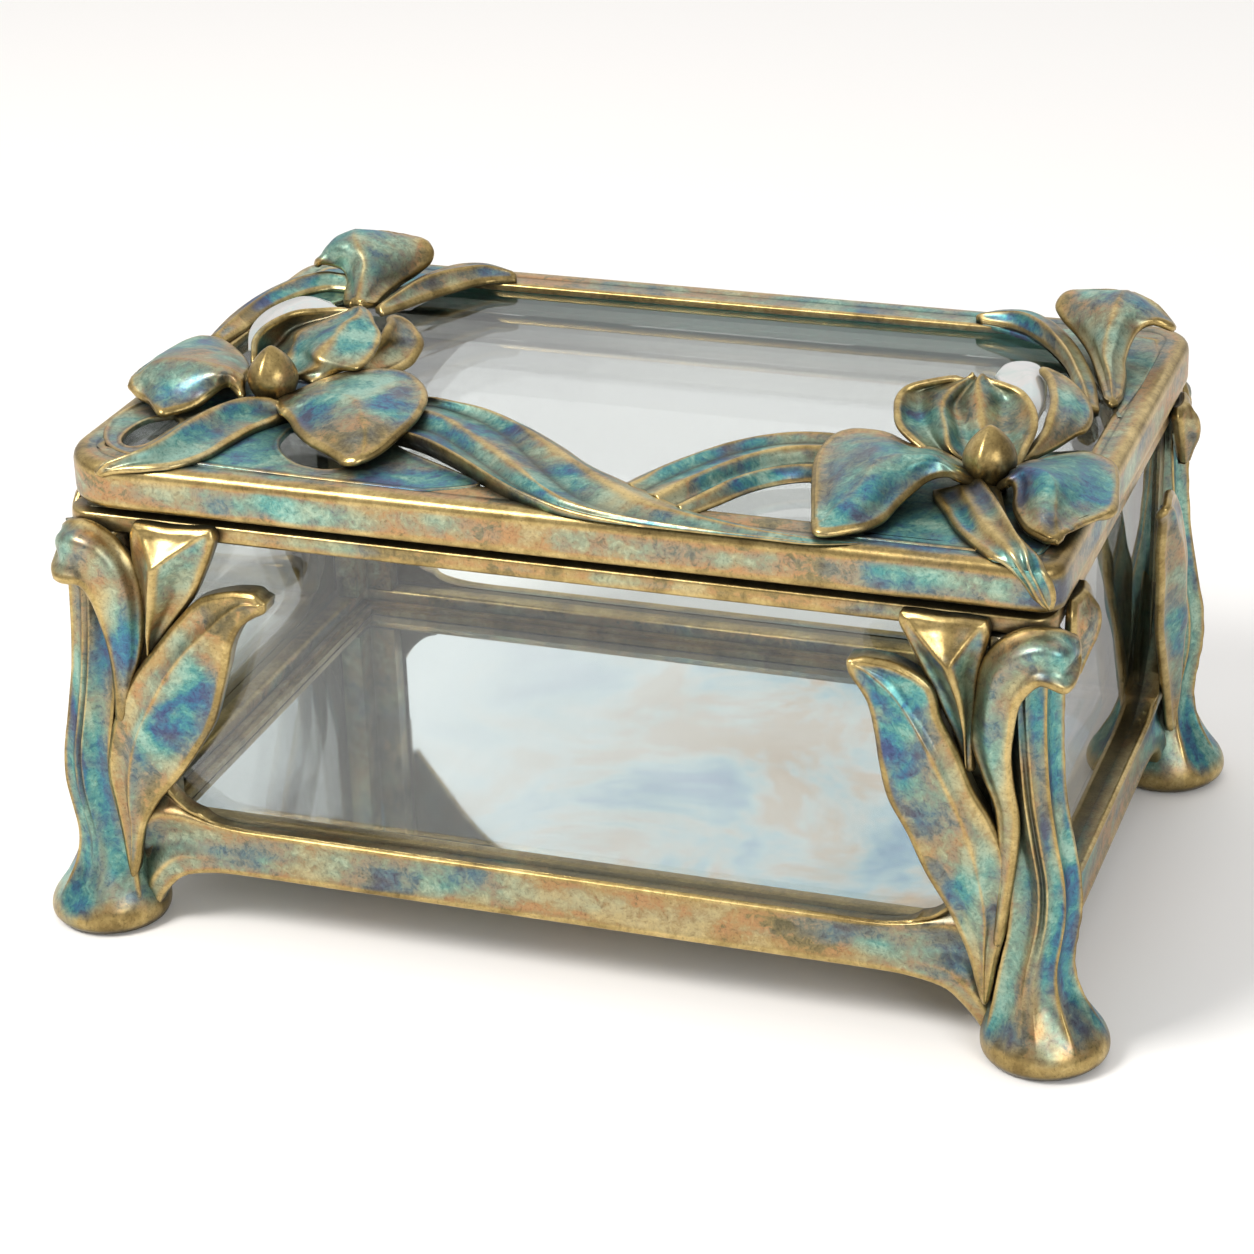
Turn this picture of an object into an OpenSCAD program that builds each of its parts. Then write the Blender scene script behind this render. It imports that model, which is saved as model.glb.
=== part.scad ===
// Glass casket with a cast bronze frame, four flower-shaped legs and a hinged glass lid.
// Origin: middle of the footprint on the table plane. +X right, -Y front, +Z up. Millimetres.

/* [Lid] */
// Length of the lid, left to right
lid_l = 200; // [198:1:203]
// Depth of the lid, front to back
lid_w = 130; // [129:0.5:132]
// Height of the lid's top face above the table
lid_top = 102; // [101:0.5:102.5]
// Height of the lid rail
lid_t = 9; // [7.5:0.5:9.5]
// Width of the lid's long rails
lid_rail_y = 10; // [9:0.5:11]
// Width of the lid's short rails
lid_rail_x = 7; // [6:0.5:8]
// Thickness of the lid glass
lid_glass_t = 3; // [2.5:0.5:3.5]

/* [Case] */
// Length of the case outline
case_l = 197; // [195:1:199]
// Depth of the case outline
case_w = 127; // [126:0.5:129]
// Height of the bottom rail's underside above the table
base_z = 15; // [14.5:0.5:15.5]
// Height of the bottom rail
base_h = 9.6; // [9:0.2:10]
// Width of the rails
rail_w = 9; // [8.5:0.5:10]
// Height of the fillets in the lower corners of the windows
fillet_h = 26; // [14:1:30]
// Thickness of the wall glass
glass_t = 2; // [1.6:0.2:2.2]
// Thickness of the mirror floor
mirror_t = 3; // [2.5:0.5:3]

/* [Legs] */
// Radius of the foot
foot_r = 12.2; // [11:0.2:12.4]
// Thickness of the felt discs under the feet
pad_t = 0.6; // [0.4:0.1:0.8]

/* [Hinge] */
// Distance of each hinge from the middle
hinge_x = 38; // [30:1:40]
// Radius of the hinge pins
pin_r = 0.9; // [0.8:0.05:1]
// Radial clearance between the lid knuckle and its pin
pin_gap = 0.05; // [0.03:0.01:0.08]

/* [Hidden] */
$fn = 64;

bronze = [0.42, 0.50, 0.42];
gold = [0.72, 0.58, 0.32];
clear = [0.80, 0.88, 0.88, 0.4];

lid_bot = lid_top - lid_t;
base_top = base_z + base_h;
rail_z0 = 87.6;
rail_z1 = 91.2;
step_z = lid_bot - 0.3;
leg_x = case_l / 2 - 1;
leg_y = case_w / 2 - 3;
leg_r = 7;
glass_y = case_w / 2 - 3 - glass_t;
glass_x = case_l / 2 - 3 - glass_t;
hinge_y = lid_w / 2 + 2.6;
hinge_z = 92.2;
knuckle_r = 1.8;
low_z = 88.7;
glass_z1 = lid_top - 1.7;
glass_z0 = glass_z1 - lid_glass_t;

// ---- smooth curves through hand-set points ----
function cr(a, b, c, d, t) = 0.5 * (2 * b + (c - a) * t + (2 * a - 5 * b + 4 * c - d) * t * t + (3 * b - a - 3 * c + d) * t * t * t);
function at(P, i) = P[max(0, min(len(P) - 1, i))];
function spl(P, n) = [for (i = [0 : len(P) - 2]) for (k = [0 : n - 1]) cr(at(P, i - 1), P[i], P[i + 1], at(P, i + 2), k / n), P[len(P) - 1]];
function col(R, j) = [for (r = R) r[j]];
// grid of points: each row refined across, then the columns refined along
function refine(R, n, m) = let (A = [for (r = R) spl(r, m)], C = [for (j = [0 : len(A[0]) - 1]) spl(col(A, j), n)])
  [for (i = [0 : len(C[0]) - 1]) [for (j = [0 : len(C) - 1]) C[j][i]]];
function mx(R, sx, sy) = [for (r = R) [for (p = r) [p[0] * sx, p[1] * sy, p[2]]]];
function total(v, i = 0) = i >= len(v) ? 0 : v[i] + total(v, i + 1);
function row_d(d, i) = is_list(d[0]) ? d[i] : d;
function clampz(p, z) = [p[0], p[1], max(p[2], z)];

// closed shell between a grid of surface points and the same grid moved by d,
// kept above zmin and in front of ymax
module shell(R, d, n = 1, m = 1, zmin = -1000, ymax = 1000) {
  G0 = refine(R, n, m);
  G = [for (r = G0) [for (p = r) clampz(p, zmin + 0.5)]];
  nr = len(G); nc = len(G[0]);
  // d is one direction for the whole shell, or one for each row
  B = [for (i = [0 : nr - 1]) [for (p = G[i]) let (q = clampz(p + row_d(d, i), zmin)) [q[0], min(q[1], ymax), q[2]]]];
  flat = [for (r = G) for (p = r) p];
  back = [for (r = B) for (p = r) p];
  N = nr * nc;
  rim = concat([for (j = [0 : nc - 1]) j], [for (i = [1 : nr - 1]) i * nc + nc - 1],
    [for (j = [nc - 2 : -1 : 0]) (nr - 1) * nc + j], [for (i = [nr - 2 : -1 : 1]) i * nc]);
  L = len(rim);
  // the sum tells which way the grid faces, so that the shell is never inside out
  turn = total([for (i = [0 : nr - 2]) for (j = [0 : nc - 2]) cross(G[i][j + 1] - G[i][j], G[i + 1][j + 1] - G[i][j]) * row_d(d, i)]);
  faces = concat(
    [for (i = [0 : nr - 2]) for (j = [0 : nc - 2]) [i * nc + j, i * nc + j + 1, (i + 1) * nc + j + 1]],
    [for (i = [0 : nr - 2]) for (j = [0 : nc - 2]) [i * nc + j, (i + 1) * nc + j + 1, (i + 1) * nc + j]],
    [for (i = [0 : nr - 2]) for (j = [0 : nc - 2]) [N + i * nc + j, N + (i + 1) * nc + j + 1, N + i * nc + j + 1]],
    [for (i = [0 : nr - 2]) for (j = [0 : nc - 2]) [N + i * nc + j, N + (i + 1) * nc + j, N + (i + 1) * nc + j + 1]],
    [for (k = [0 : L - 1]) [rim[k], N + rim[k], N + rim[(k + 1) % L]]],
    [for (k = [0 : L - 1]) [rim[k], N + rim[(k + 1) % L], rim[(k + 1) % L]]]);
  polyhedron(concat(flat, back), turn > 0 ? faces : [for (f = faces) [f[2], f[1], f[0]]], convexity = 6);
}

// ---- flower and leaf surfaces: rows from root to tip, each row across the petal ----
L_outer_fall = [
  [[-79, -16, 105], [-75, -27, 107.5], [-74, -31, 105.5]],
  [[-85, -8, 105], [-77, -28, 109.5], [-77, -30, 107]],
  [[-93, 0, 104.5], [-80, -29, 110.5], [-79, -32, 106.5]],
  [[-98, 1, 104.5], [-85, -28, 110.5], [-82, -35, 104.5]],
  [[-100, -2, 104.5], [-91, -27, 110], [-85, -38, 104]],
  [[-101, -8, 104.5], [-95, -27, 109], [-88, -40, 104]],
  [[-101, -15, 104.8], [-97, -29, 107.5], [-93, -35, 104]],
  [[-101, -21, 105], [-99, -30, 106], [-97, -33, 104.5]]];
L_inner_fall = [
  [[-65.5, -34, 105.4], [-63.5, -31.5, 106.5], [-62.5, -26, 105.8]],
  [[-63, -36, 106], [-59, -33.5, 109], [-60, -23, 106.8]],
  [[-61, -37, 106], [-54, -35, 110.5], [-56, -19, 107]],
  [[-59, -38, 106], [-50, -37, 111], [-51, -17, 107.5]],
  [[-56, -43, 105], [-46, -40, 110.5], [-44, -17, 107.5]],
  [[-52, -47, 104.5], [-43, -45, 109.5], [-37, -25, 107]],
  [[-47, -50, 104], [-40, -50, 108], [-35, -37, 106]],
  [[-43.6, -53, 104], [-39.4, -52.6, 106], [-36, -46, 105]],
  [[-41, -55, 104], [-38.5, -55, 104.5], [-37, -53, 104]]];
L_standard = [
  [[-77, -18, 106], [-74, -19, 105.5], [-71, -20, 105.5], [-66, -20.8, 106.5], [-62.5, -22.4, 106.5]],
  [[-78, -15, 108], [-78, -11, 106.5], [-71, -14, 108], [-62, -20.4, 109], [-58, -20, 108]],
  [[-79, -12, 110], [-77, -6, 107.5], [-71, -11, 109.5], [-62, -19, 111], [-54, -19, 109]],
  [[-78, -8, 111.5], [-76, -3, 109], [-71, -8, 111], [-61, -13, 112.5], [-53, -14, 110]],
  [[-75, -3, 112.5], [-73, -1, 110.5], [-68, -5, 112], [-61, -8, 113.5], [-54, -7, 111.5]],
  [[-70, 0, 113], [-68, 0, 112], [-65, -2, 113], [-60, -4, 114], [-57, -3, 113]],
  [[-64.5, 2, 113.5], [-63.5, 1.5, 113.5], [-62.5, 1.5, 114], [-61, 1, 114.2], [-59.5, 1, 114]]];
L_pearl = [
  [[-84, -6, 105.5], [-83, -6.5, 105.8], [-81, -7.5, 106]],
  [[-87, 2, 107], [-84.5, 1, 107.5], [-82, 0, 107.5]],
  [[-86.5, 9, 108.5], [-83.5, 7.5, 109], [-80.5, 5.5, 108.5]],
  [[-83, 15, 109.5], [-80, 12, 110], [-76.5, 7.5, 109.5]],
  [[-79, 15.5, 110], [-76, 13, 110.3], [-72.5, 9, 110]],
  [[-74, 13.5, 110], [-72, 11.5, 110], [-69.5, 9.5, 110]]];
L_side = [
  [[-59, -13, 104], [-57, -14, 104.3], [-56, -13, 104]],
  [[-57, -9, 106], [-55, -9, 105.3], [-52.5, -9, 104]],
  [[-55.5, -6, 108], [-54, -3, 106.3], [-50, -4, 104.5]],
  [[-54.5, -4, 109.5], [-52, 1, 107.5], [-49, -1, 105.5]],
  [[-54.5, -1, 110.5], [-53, 4, 108.5], [-49.5, 4, 107]],
  [[-55, 2, 111], [-54.5, 6, 110], [-53, 8, 108.5]],
  [[-56.5, 4, 111.3], [-56, 6, 111], [-55, 8, 110]]];
L_spear_a = [
  [[-73.5, -31, 104.5], [-71, -33, 105.5], [-69, -33, 104.5]],
  [[-75, -35, 104.8], [-72, -38, 106.2], [-70.5, -36.5, 104.8]],
  [[-77, -39, 104.4], [-73.5, -43, 106], [-71.8, -42, 104.6]],
  [[-78, -44, 104], [-74.5, -48.5, 105.6], [-72.8, -47.5, 104.2]],
  [[-78.5, -50, 103.6], [-75, -55, 105], [-74, -54, 103.8]],
  [[-79.5, -56, 103.2], [-76.5, -60.5, 104.6], [-75.5, -59.5, 103.6]]];
L_spear_b = [
  [[-63, -35, 103.4], [-62, -38, 103.8], [-62, -40, 103]],
  [[-67, -35.5, 104], [-65.5, -39, 104.8], [-65.5, -42, 103]],
  [[-70, -39, 104.4], [-67.5, -44, 105.6], [-67, -47, 103]],
  [[-71.5, -44, 104.4], [-69.5, -50, 105.6], [-69, -53, 103]],
  [[-72.7, -50, 104.2], [-71.5, -54.5, 105.3], [-71, -58, 103]],
  [[-74.2, -56, 104], [-74, -59.5, 105], [-74, -62.8, 103]],
  [[-77.5, -60, 103.8], [-78, -63, 104.6], [-78, -66, 102.8]],
  [[-82, -62, 103.6], [-82.5, -64.5, 104], [-82, -66.5, 102.6]],
  [[-87.5, -63.5, 102.8], [-88, -64.5, 103], [-88, -65.5, 102.6]]];
R_outer_fall = [
  [[83.6, -28, 105.5], [84.8, -33.5, 106.5], [83.6, -37.6, 105]],
  [[84.5, -26, 105.5], [85, -36.5, 108.5], [83.5, -38.5, 106.5]],
  [[86.6, -22.5, 105], [89, -39, 110], [85, -39, 106.5]],
  [[90, -18.5, 104.8], [92, -42, 110.5], [86, -41, 105.8]],
  [[94.6, -16.5, 104.8], [94, -45, 110], [86.5, -44, 104.8]],
  [[100, -21, 104.8], [95, -48, 108.5], [88, -48, 104.4]],
  [[103, -33, 104.6], [95.5, -51, 106.8], [91, -53, 104]],
  [[104, -42, 104.4], [96.5, -54, 105.2], [94, -55.5, 104]],
  [[100, -49, 104], [97.5, -56, 104.4], [96, -57, 104]]];
R_inner_fall = [
  [[73, -30.5, 105.5], [73.4, -35.5, 106.8], [75, -38.4, 105]],
  [[71, -28, 106], [73, -38, 109], [74.5, -39, 107]],
  [[67, -26, 106.5], [70, -39, 110.5], [72, -40, 107.5]],
  [[62, -25, 106.5], [67, -41, 111], [69.5, -42, 107]],
  [[57, -22, 107], [64, -42, 111], [67.5, -46, 106]],
  [[53, -21, 107], [61, -44, 110.5], [66, -50, 105]],
  [[49, -22, 107], [60, -48, 109.5], [65, -55, 104.2]],
  [[47, -27, 107], [59, -53, 108], [63, -59, 104]],
  [[47, -36, 106.5], [57, -57, 106.5], [60, -61.5, 104]],
  [[50, -48, 106], [55.5, -60, 105], [57.5, -63, 104]],
  [[52.5, -57, 105], [54, -62, 104.2], [55, -64, 104]]];
R_standard = [
  [[69, -26, 106], [71, -25, 105.5], [74, -24.5, 105.5], [78, -25, 105.8], [83, -27, 106]],
  [[65, -25, 107.5], [70, -24, 107.2], [74, -21, 107.2], [78, -20, 107], [83.5, -24, 107.5]],
  [[60, -22, 109], [67, -20, 108.6], [73, -16.5, 109.5], [77, -15, 108.5], [84, -19, 109.3]],
  [[58, -18, 110.5], [65, -15, 110.2], [72, -12, 111.4], [76, -10.5, 110.2], [83, -14, 110.8]],
  [[57.5, -13, 111.8], [64, -10.5, 111.4], [70.5, -8.5, 112.6], [75, -7.5, 111.6], [80.5, -9.5, 112]],
  [[61, -9, 112.8], [65.5, -7.5, 112.6], [70, -6, 113.4], [73, -5.6, 112.9], [76.5, -6.5, 113]],
  [[67, -6, 113.4], [68.5, -5, 113.6], [70, -4, 113.9], [71.5, -4, 113.9], [73, -4.6, 113.6]]];
R_pearl = [
  [[70, 10, 108.5], [71, 8.5, 109], [72, 6.5, 109]],
  [[71, 15.5, 109], [74, 10, 109.5], [76, 2.5, 109]],
  [[74.5, 16.5, 109.5], [76.5, 8, 110], [78.5, -1.5, 109]],
  [[78, 14, 109.5], [79, 4, 110], [80.5, -6, 108.5]],
  [[81, 6.5, 108.5], [82, -1, 108.5], [82, -10, 107.5]],
  [[82.5, -1.5, 107.5], [82.7, -7, 107.3], [82.8, -12, 106.8]]];
R_side = [
  [[83.6, -23.5, 105.4], [84.4, -22.5, 105.2], [85, -20.5, 104.4]],
  [[84.5, -19, 106.4], [86, -17.5, 106], [87.5, -14.5, 104.4]],
  [[85.5, -14, 107.6], [87.8, -12.5, 107], [89.6, -9.5, 104.8]],
  [[85.5, -10.5, 109], [88.5, -9.5, 108], [91.5, -6.5, 105.5]],
  [[85, -4.5, 110], [88, -4.5, 109], [91.5, -1, 106.5]],
  [[83.5, 1, 110.5], [86, 1.5, 110], [89, 4.5, 108]],
  [[81.5, 6, 110.8], [83, 6.5, 110.6], [85, 8.5, 109.5]],
  [[79, 9.5, 111], [79.8, 9.8, 111], [80.5, 10.5, 110.6]]];
R_spear_a = [
  [[78, -39, 104.4], [80, -40, 105.6], [82, -39, 104.4]],
  [[79.5, -43, 104.4], [81.5, -45, 106], [83.5, -42.5, 104.4]],
  [[82, -48, 104.4], [84.3, -50.5, 106], [86, -48, 104.4]],
  [[85, -55, 104.2], [87.4, -57.5, 106], [88.6, -55, 104.2]],
  [[88.6, -61, 104], [90.6, -62.8, 105.6], [92.2, -60.8, 104]],
  [[91.2, -64.4, 103.4], [93, -65.4, 104.4], [94.4, -63.8, 103.4]]];
R_spear_b = [
  [[68, -40.5, 103], [69, -41.5, 103.8], [70.5, -39.5, 103.2]],
  [[71.5, -44, 103], [74, -45, 105], [76, -41, 104]],
  [[74.5, -49, 103], [78, -50, 105.4], [80, -45.5, 104.2]],
  [[78, -55, 103], [82, -56, 105.6], [83, -51, 104.2]],
  [[82.5, -60.5, 103], [85.3, -61, 105.2], [85.8, -57.5, 104.2]],
  [[87, -64.6, 103], [88.6, -65, 104.4], [88.4, -62.2, 104]]];
R_spear_c = [
  [[93, -57.6, 102.8], [95, -58.4, 103.4], [97, -58.4, 102.8]],
  [[93.4, -60, 102.8], [96, -60.6, 104.6], [98.6, -59.6, 102.8]],
  [[94.8, -62.6, 102.8], [97, -62.8, 104.4], [99, -61.4, 102.8]]];
// the spears' tail turned down over the corner of the lid
R_tail = [
  [[89, -65.3, 102.8], [92.5, -66.6, 103.4], [96, -66, 103.2]],
  [[90.6, -65.3, 100.8], [94.2, -66.9, 101.4], [98, -65.6, 101.6]],
  [[93.2, -65.3, 98.4], [96, -66.9, 98.6], [98.8, -65.4, 98.8]],
  [[95.6, -65.3, 96], [97.4, -66.6, 96.2], [99, -65.4, 96.4]],
  [[97.4, -65.3, 94.4], [98, -65.8, 94.4], [98.8, -65.4, 94.6]]];
L_stems = [
  [[-54, -26, 104], [-52, -30, 104.5], [-51, -33, 104.8], [-50, -38, 103]],
  [[-46, -22, 104], [-44, -28, 104.5], [-42, -35, 104.8], [-42, -40, 103]],
  [[-38, -20, 104], [-36, -27, 104.6], [-35, -34, 105], [-36, -41, 103]],
  [[-31, -21, 104.2], [-29, -29, 104.8], [-27, -38, 105], [-27, -46, 103]],
  [[-24, -23.5, 104.2], [-21, -33, 104.8], [-18, -44, 105], [-19, -51, 103]],
  [[-14, -29, 104.2], [-12, -39, 104.8], [-9, -52, 104.8], [-10, -57.5, 103]],
  [[-4, -37, 104.2], [-2, -48, 104.6], [0, -58, 104.5], [-1, -61.5, 103]],
  [[4, -44, 104.2], [7, -53, 104.4], [9, -60, 104.2], [9, -63, 103]],
  [[13, -50, 104], [16, -56, 104.2], [18, -61, 103.8], [19, -63.5, 103]],
  [[24, -56, 103.8], [26, -60, 103.8], [29, -62, 103.4], [30, -63.8, 103]],
  [[37, -60.5, 103.2], [39, -61.8, 103.2], [41, -62.8, 103], [42, -63.8, 102.8]],
  [[48, -62.5, 102.8], [50, -63, 102.8], [52, -63.4, 102.8], [54, -63.8, 102.8]]];
R_stems = [
  [[16.5, -47.5, 103.2], [20, -50.5, 103.6], [24, -53.5, 103.6], [27.5, -55.5, 102.8]],
  [[18.5, -41, 103.6], [23, -45, 104.2], [27, -48.5, 104.4], [31, -51.5, 103]],
  [[21, -35, 104], [26, -38, 104.4], [30, -41, 104.5], [35, -44, 103]],
  [[26, -28, 104], [30, -32, 104.4], [34, -36, 104.5], [39, -39, 103]],
  [[33, -22, 104], [36, -27, 104.4], [38, -32, 104.5], [42, -37, 103]],
  [[40, -19, 104], [42, -24, 104.4], [43, -30, 104.5], [45, -36, 103]],
  [[47, -18, 104], [48, -23, 104.2], [49, -30, 104.2], [50, -36, 103]],
  [[55, -20, 103.8], [56, -25, 104], [56, -31, 104], [56, -37, 103]],
  [[62, -23, 103.6], [62, -27, 103.8], [62, -32, 103.8], [62, -37, 103]]];
L_lily = [
  [[-79, 32, 103], [-77, 31, 103.8], [-74, 30, 104.2], [-72, 32, 103]],
  [[-81, 37, 103.6], [-78, 34, 105.2], [-74, 33, 105.6], [-72, 38, 103.5]],
  [[-82, 41, 104.8], [-79, 37, 107], [-74, 37, 107], [-71, 44, 104]],
  [[-84, 43, 106.5], [-80, 40, 109.5], [-74, 40, 109.2], [-69, 48, 105]],
  [[-87, 43, 107.5], [-83, 42, 111.5], [-75, 43, 111.5], [-67, 51, 107]],
  [[-90, 43, 107.8], [-86, 44, 112.3], [-77, 47, 113], [-67, 53, 109]],
  [[-92, 46, 106.5], [-88, 49, 112], [-79, 52, 113.2], [-69, 55, 110.5]],
  [[-93, 50, 105], [-89, 55, 109.5], [-81, 57, 111], [-71, 58, 109.5]]];
R_lily = [
  [[91, 15, 103], [92, 14, 103.6], [93, 15, 103.6], [93.5, 18, 103]],
  [[87, 27, 103.2], [89, 24, 104.8], [91, 24, 105], [92, 29, 103.4]],
  [[83, 38, 103.8], [85.5, 33, 106.2], [89, 30, 107], [91, 33, 105]],
  [[79, 45, 105], [84, 38, 108.4], [89, 35, 109], [91, 38, 107]],
  [[75, 49, 107], [84, 41, 110.6], [89, 39, 111.2], [92, 42, 108.8]],
  [[73, 52, 109], [83, 46, 112.2], [90, 43, 112.6], [95, 44, 110]],
  [[74, 56, 110.5], [83, 52, 113.2], [91, 49, 113], [98, 46, 109]],
  [[76, 59, 109.5], [84, 58, 111], [92, 56, 110], [99.5, 50, 106]]];
L_stem_side = [
  [[-84, 46, 104], [-83, 43.5, 105], [-81, 40.5, 103]],
  [[-90, 47.5, 104], [-88, 43.5, 105.2], [-86, 40.5, 103]],
  [[-94.5, 44, 103.8], [-92, 40.5, 105], [-89.5, 37.5, 103]],
  [[-97, 36.5, 103.8], [-94.5, 34, 105], [-92, 32, 103]],
  [[-98.5, 27, 103.8], [-96, 25.5, 104.8], [-93.5, 24.5, 103]],
  [[-98.8, 16, 103.6], [-96.3, 15, 104.6], [-93.5, 14, 103]],
  [[-98, 5, 103.2], [-96.3, 4, 104], [-94.5, 3, 103]]];
L_stem_back = [
  [[-71, 30.5, 103.2], [-69.5, 29.5, 104], [-68.5, 28.5, 103]],
  [[-69.5, 36, 104.2], [-67.5, 34.5, 105.2], [-66, 33, 103]],
  [[-68, 43, 104.8], [-65.5, 41.5, 106], [-63, 40, 103]],
  [[-66, 50, 105], [-62.5, 48, 106], [-60, 45.5, 103]],
  [[-62.5, 56.5, 105], [-59, 53, 105.6], [-57, 50.5, 103]],
  [[-57, 59.5, 104.6], [-55.5, 57, 105], [-54, 54, 103]],
  [[-50, 58.5, 103.6], [-49.5, 57.3, 103.8], [-49, 56, 103]]];
R_stem_back = [
  [[55, 57.5, 103.2], [55.5, 56.3, 103.8], [56.5, 55.2, 103]],
  [[60, 58.5, 104.4], [61.5, 55.5, 105.2], [62.5, 53.5, 103]],
  [[66, 57.5, 105], [66, 53, 106], [67, 50.5, 103]],
  [[71.5, 53, 105], [71, 48, 106], [71.5, 45.5, 103]],
  [[76, 47, 104.8], [75, 42, 105.8], [75.5, 39.5, 103]],
  [[80, 40, 104.4], [79, 35, 105.4], [79.5, 32, 103]],
  [[84, 31, 104], [82.5, 27, 105], [82.5, 24, 103]],
  [[87.5, 21, 104], [86, 18, 104.8], [85, 15, 103]],
  [[90.5, 10, 103.6], [89, 8.5, 104.4], [87.5, 7, 103]]];
// leg ornament for a front right corner; the others are mirrored
hood = [
  [[84.5, -66, 63.5], [87, -67.5, 59], [89.8, -67.8, 54.5]],
  [[85, -66, 69.5], [87.3, -68, 66.5], [89.8, -68, 63]],
  [[85.5, -66, 76], [87.8, -68.5, 73], [90, -68.6, 69.5]],
  [[86.8, -66, 82], [89, -69.3, 79], [91, -69.5, 74.5]],
  [[89.3, -66, 87], [91.5, -70.3, 83.5], [93, -70.8, 77.5]],
  [[92, -65.5, 90.5], [94.5, -70.8, 86.8], [96, -72, 79.5]],
  [[95.5, -65, 91.8], [98, -70.2, 88], [99, -72, 80]],
  [[99.5, -62.5, 91.8], [101.5, -68.5, 88.5], [102.4, -70, 79.8]],
  [[102, -60, 90.5], [104, -65, 87], [105, -66.5, 79.5]],
  [[103, -57.5, 87], [104.8, -60.5, 84], [105.2, -62, 79.5]]];
F_leaf_r = [
  [[86.5, -66, 15.5], [87.5, -66.5, 15.5], [88.5, -66, 15.5]],
  [[84.5, -66, 23], [87.5, -67, 23.5], [89.5, -66, 22]],
  [[81, -66, 31], [87.5, -67.5, 31], [91, -66.5, 29]],
  [[76.5, -66, 38.5], [86.5, -68, 38], [91.5, -67, 36]],
  [[73, -66, 46], [85, -69, 45.5], [91, -67, 44]],
  [[69.5, -66.5, 53], [82.5, -69, 52.5], [88.2, -67, 51]],
  [[68, -67, 60], [79.5, -69.5, 59.5], [84.6, -67.5, 57.5]],
  [[67, -67, 66.5], [76.6, -69.5, 65.5], [81.8, -67.5, 64.5]],
  [[66, -67.5, 72], [73, -69, 71.5], [78.4, -67.5, 71]],
  [[64.5, -68, 75.5], [69.5, -69, 76], [76.5, -67.5, 77]],
  [[63, -68, 77.5], [66, -69, 79], [71, -68, 80.5]],
  [[62.5, -68.5, 79], [63.5, -69, 80.5], [65.5, -68.5, 81.5]]];
F_leaf_l = [
  [[-88.5, -66, 15.5], [-89.5, -66.5, 15.5], [-90.5, -66, 15.5]],
  [[-86.5, -66, 24], [-88.5, -67, 23.5], [-91, -66, 22]],
  [[-83, -66, 30.5], [-88, -67.5, 31], [-91.5, -66.5, 29]],
  [[-78, -66, 36.5], [-86.5, -68, 38.5], [-92, -67, 36.5]],
  [[-73, -66, 43.5], [-83.5, -69, 46.5], [-90.5, -67, 45]],
  [[-69, -66.5, 50], [-79.5, -69, 54], [-87.5, -67.5, 52]],
  [[-66.5, -66.5, 57], [-75.5, -69.5, 60.5], [-84, -67.5, 58.5]],
  [[-64.5, -67, 63], [-71, -69.5, 66.5], [-79, -67.5, 65]],
  [[-63, -67.5, 68], [-66.5, -69, 71], [-73.5, -67.5, 71.5]],
  [[-60.5, -68, 72.5], [-62.5, -69, 75], [-68.5, -67.5, 76.5]],
  [[-57.5, -68, 75], [-59, -69, 77.5], [-62, -68, 79]],
  [[-55, -68.5, 76.5], [-55.5, -69, 78], [-57, -68.5, 79.5]]];
S_leaf = [
  [[100.5, 50, 15.5], [101, 51.2, 15.5], [100.5, 52.4, 15.5]],
  [[100.5, 46.5, 23], [102, 49.8, 23.5], [101, 52.8, 22]],
  [[100.5, 43, 30], [102.5, 48, 31], [101.5, 53.2, 29]],
  [[100.5, 38.5, 38], [103, 46, 38.5], [102, 53.4, 36]],
  [[100.5, 34, 46], [104, 43, 46], [102, 53, 45]],
  [[101, 30.5, 53], [104, 40, 53], [102, 52, 52]],
  [[101.5, 27.5, 60], [104.5, 36, 60], [102.5, 48.5, 58]],
  [[101.5, 25.5, 66.5], [104.5, 32, 66.5], [102.5, 44, 65]],
  [[102, 23.5, 72], [104, 28, 72], [102.5, 39, 71.5]],
  [[102.5, 21, 76], [104, 24.5, 76.5], [102.5, 33, 77]],
  [[102.5, 18.5, 78], [104, 21, 79.5], [103, 26, 80.5]],
  [[103, 16.5, 79], [104, 18, 80.5], [103.5, 20, 81.5]]];
F_bud_r = [
  [[83, -65.5, 66], [83.6, -67, 66.5], [84.2, -65.5, 66]],
  [[79, -66.5, 75.5], [83, -68.5, 76], [84.8, -65.5, 75]],
  [[75.5, -66.5, 81.5], [82, -70, 82], [85.5, -65.5, 79]],
  [[73, -66.5, 86.5], [80.5, -70.5, 86.5], [86.3, -65.5, 84.5]],
  [[71.5, -67, 89.5], [80, -70, 88.8], [86.6, -65.5, 87.5]],
  [[71.5, -66.5, 90.6], [78.5, -66.5, 91], [86, -65.3, 90]]];
F_bud_l = [
  [[-80.5, -65.5, 64.5], [-80.5, -67, 64], [-82, -65.5, 63.5]],
  [[-76.5, -66.5, 69.5], [-78, -68.5, 73], [-83, -65.5, 72.5]],
  [[-72.5, -66.5, 75.5], [-76, -70, 79.5], [-83.5, -65.5, 80]],
  [[-70, -66.5, 81], [-74.5, -70.5, 83.5], [-83.5, -65.5, 85.5]],
  [[-66.5, -66.5, 87], [-73, -70.2, 86.5], [-82.5, -65.3, 88.5]],
  [[-65, -66.5, 90], [-73, -66.5, 91], [-81.5, -65.3, 90.4]]];
S_bud = [
  [[100.3, -51.5, 68], [101.3, -52, 68], [100.3, -53, 68]],
  [[101, -46, 76], [103, -49, 76.5], [100.6, -53, 76]],
  [[101, -42, 82], [104.4, -48, 82.5], [100.6, -53.6, 82]],
  [[101, -39.5, 87], [105, -46.5, 86.5], [100.6, -54.2, 86.5]],
  [[101, -38, 90], [104.4, -46, 89], [100.4, -54.2, 89.5]],
  [[100.8, -38.5, 91], [101, -46, 91.4], [100.2, -53, 91]]];
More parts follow.
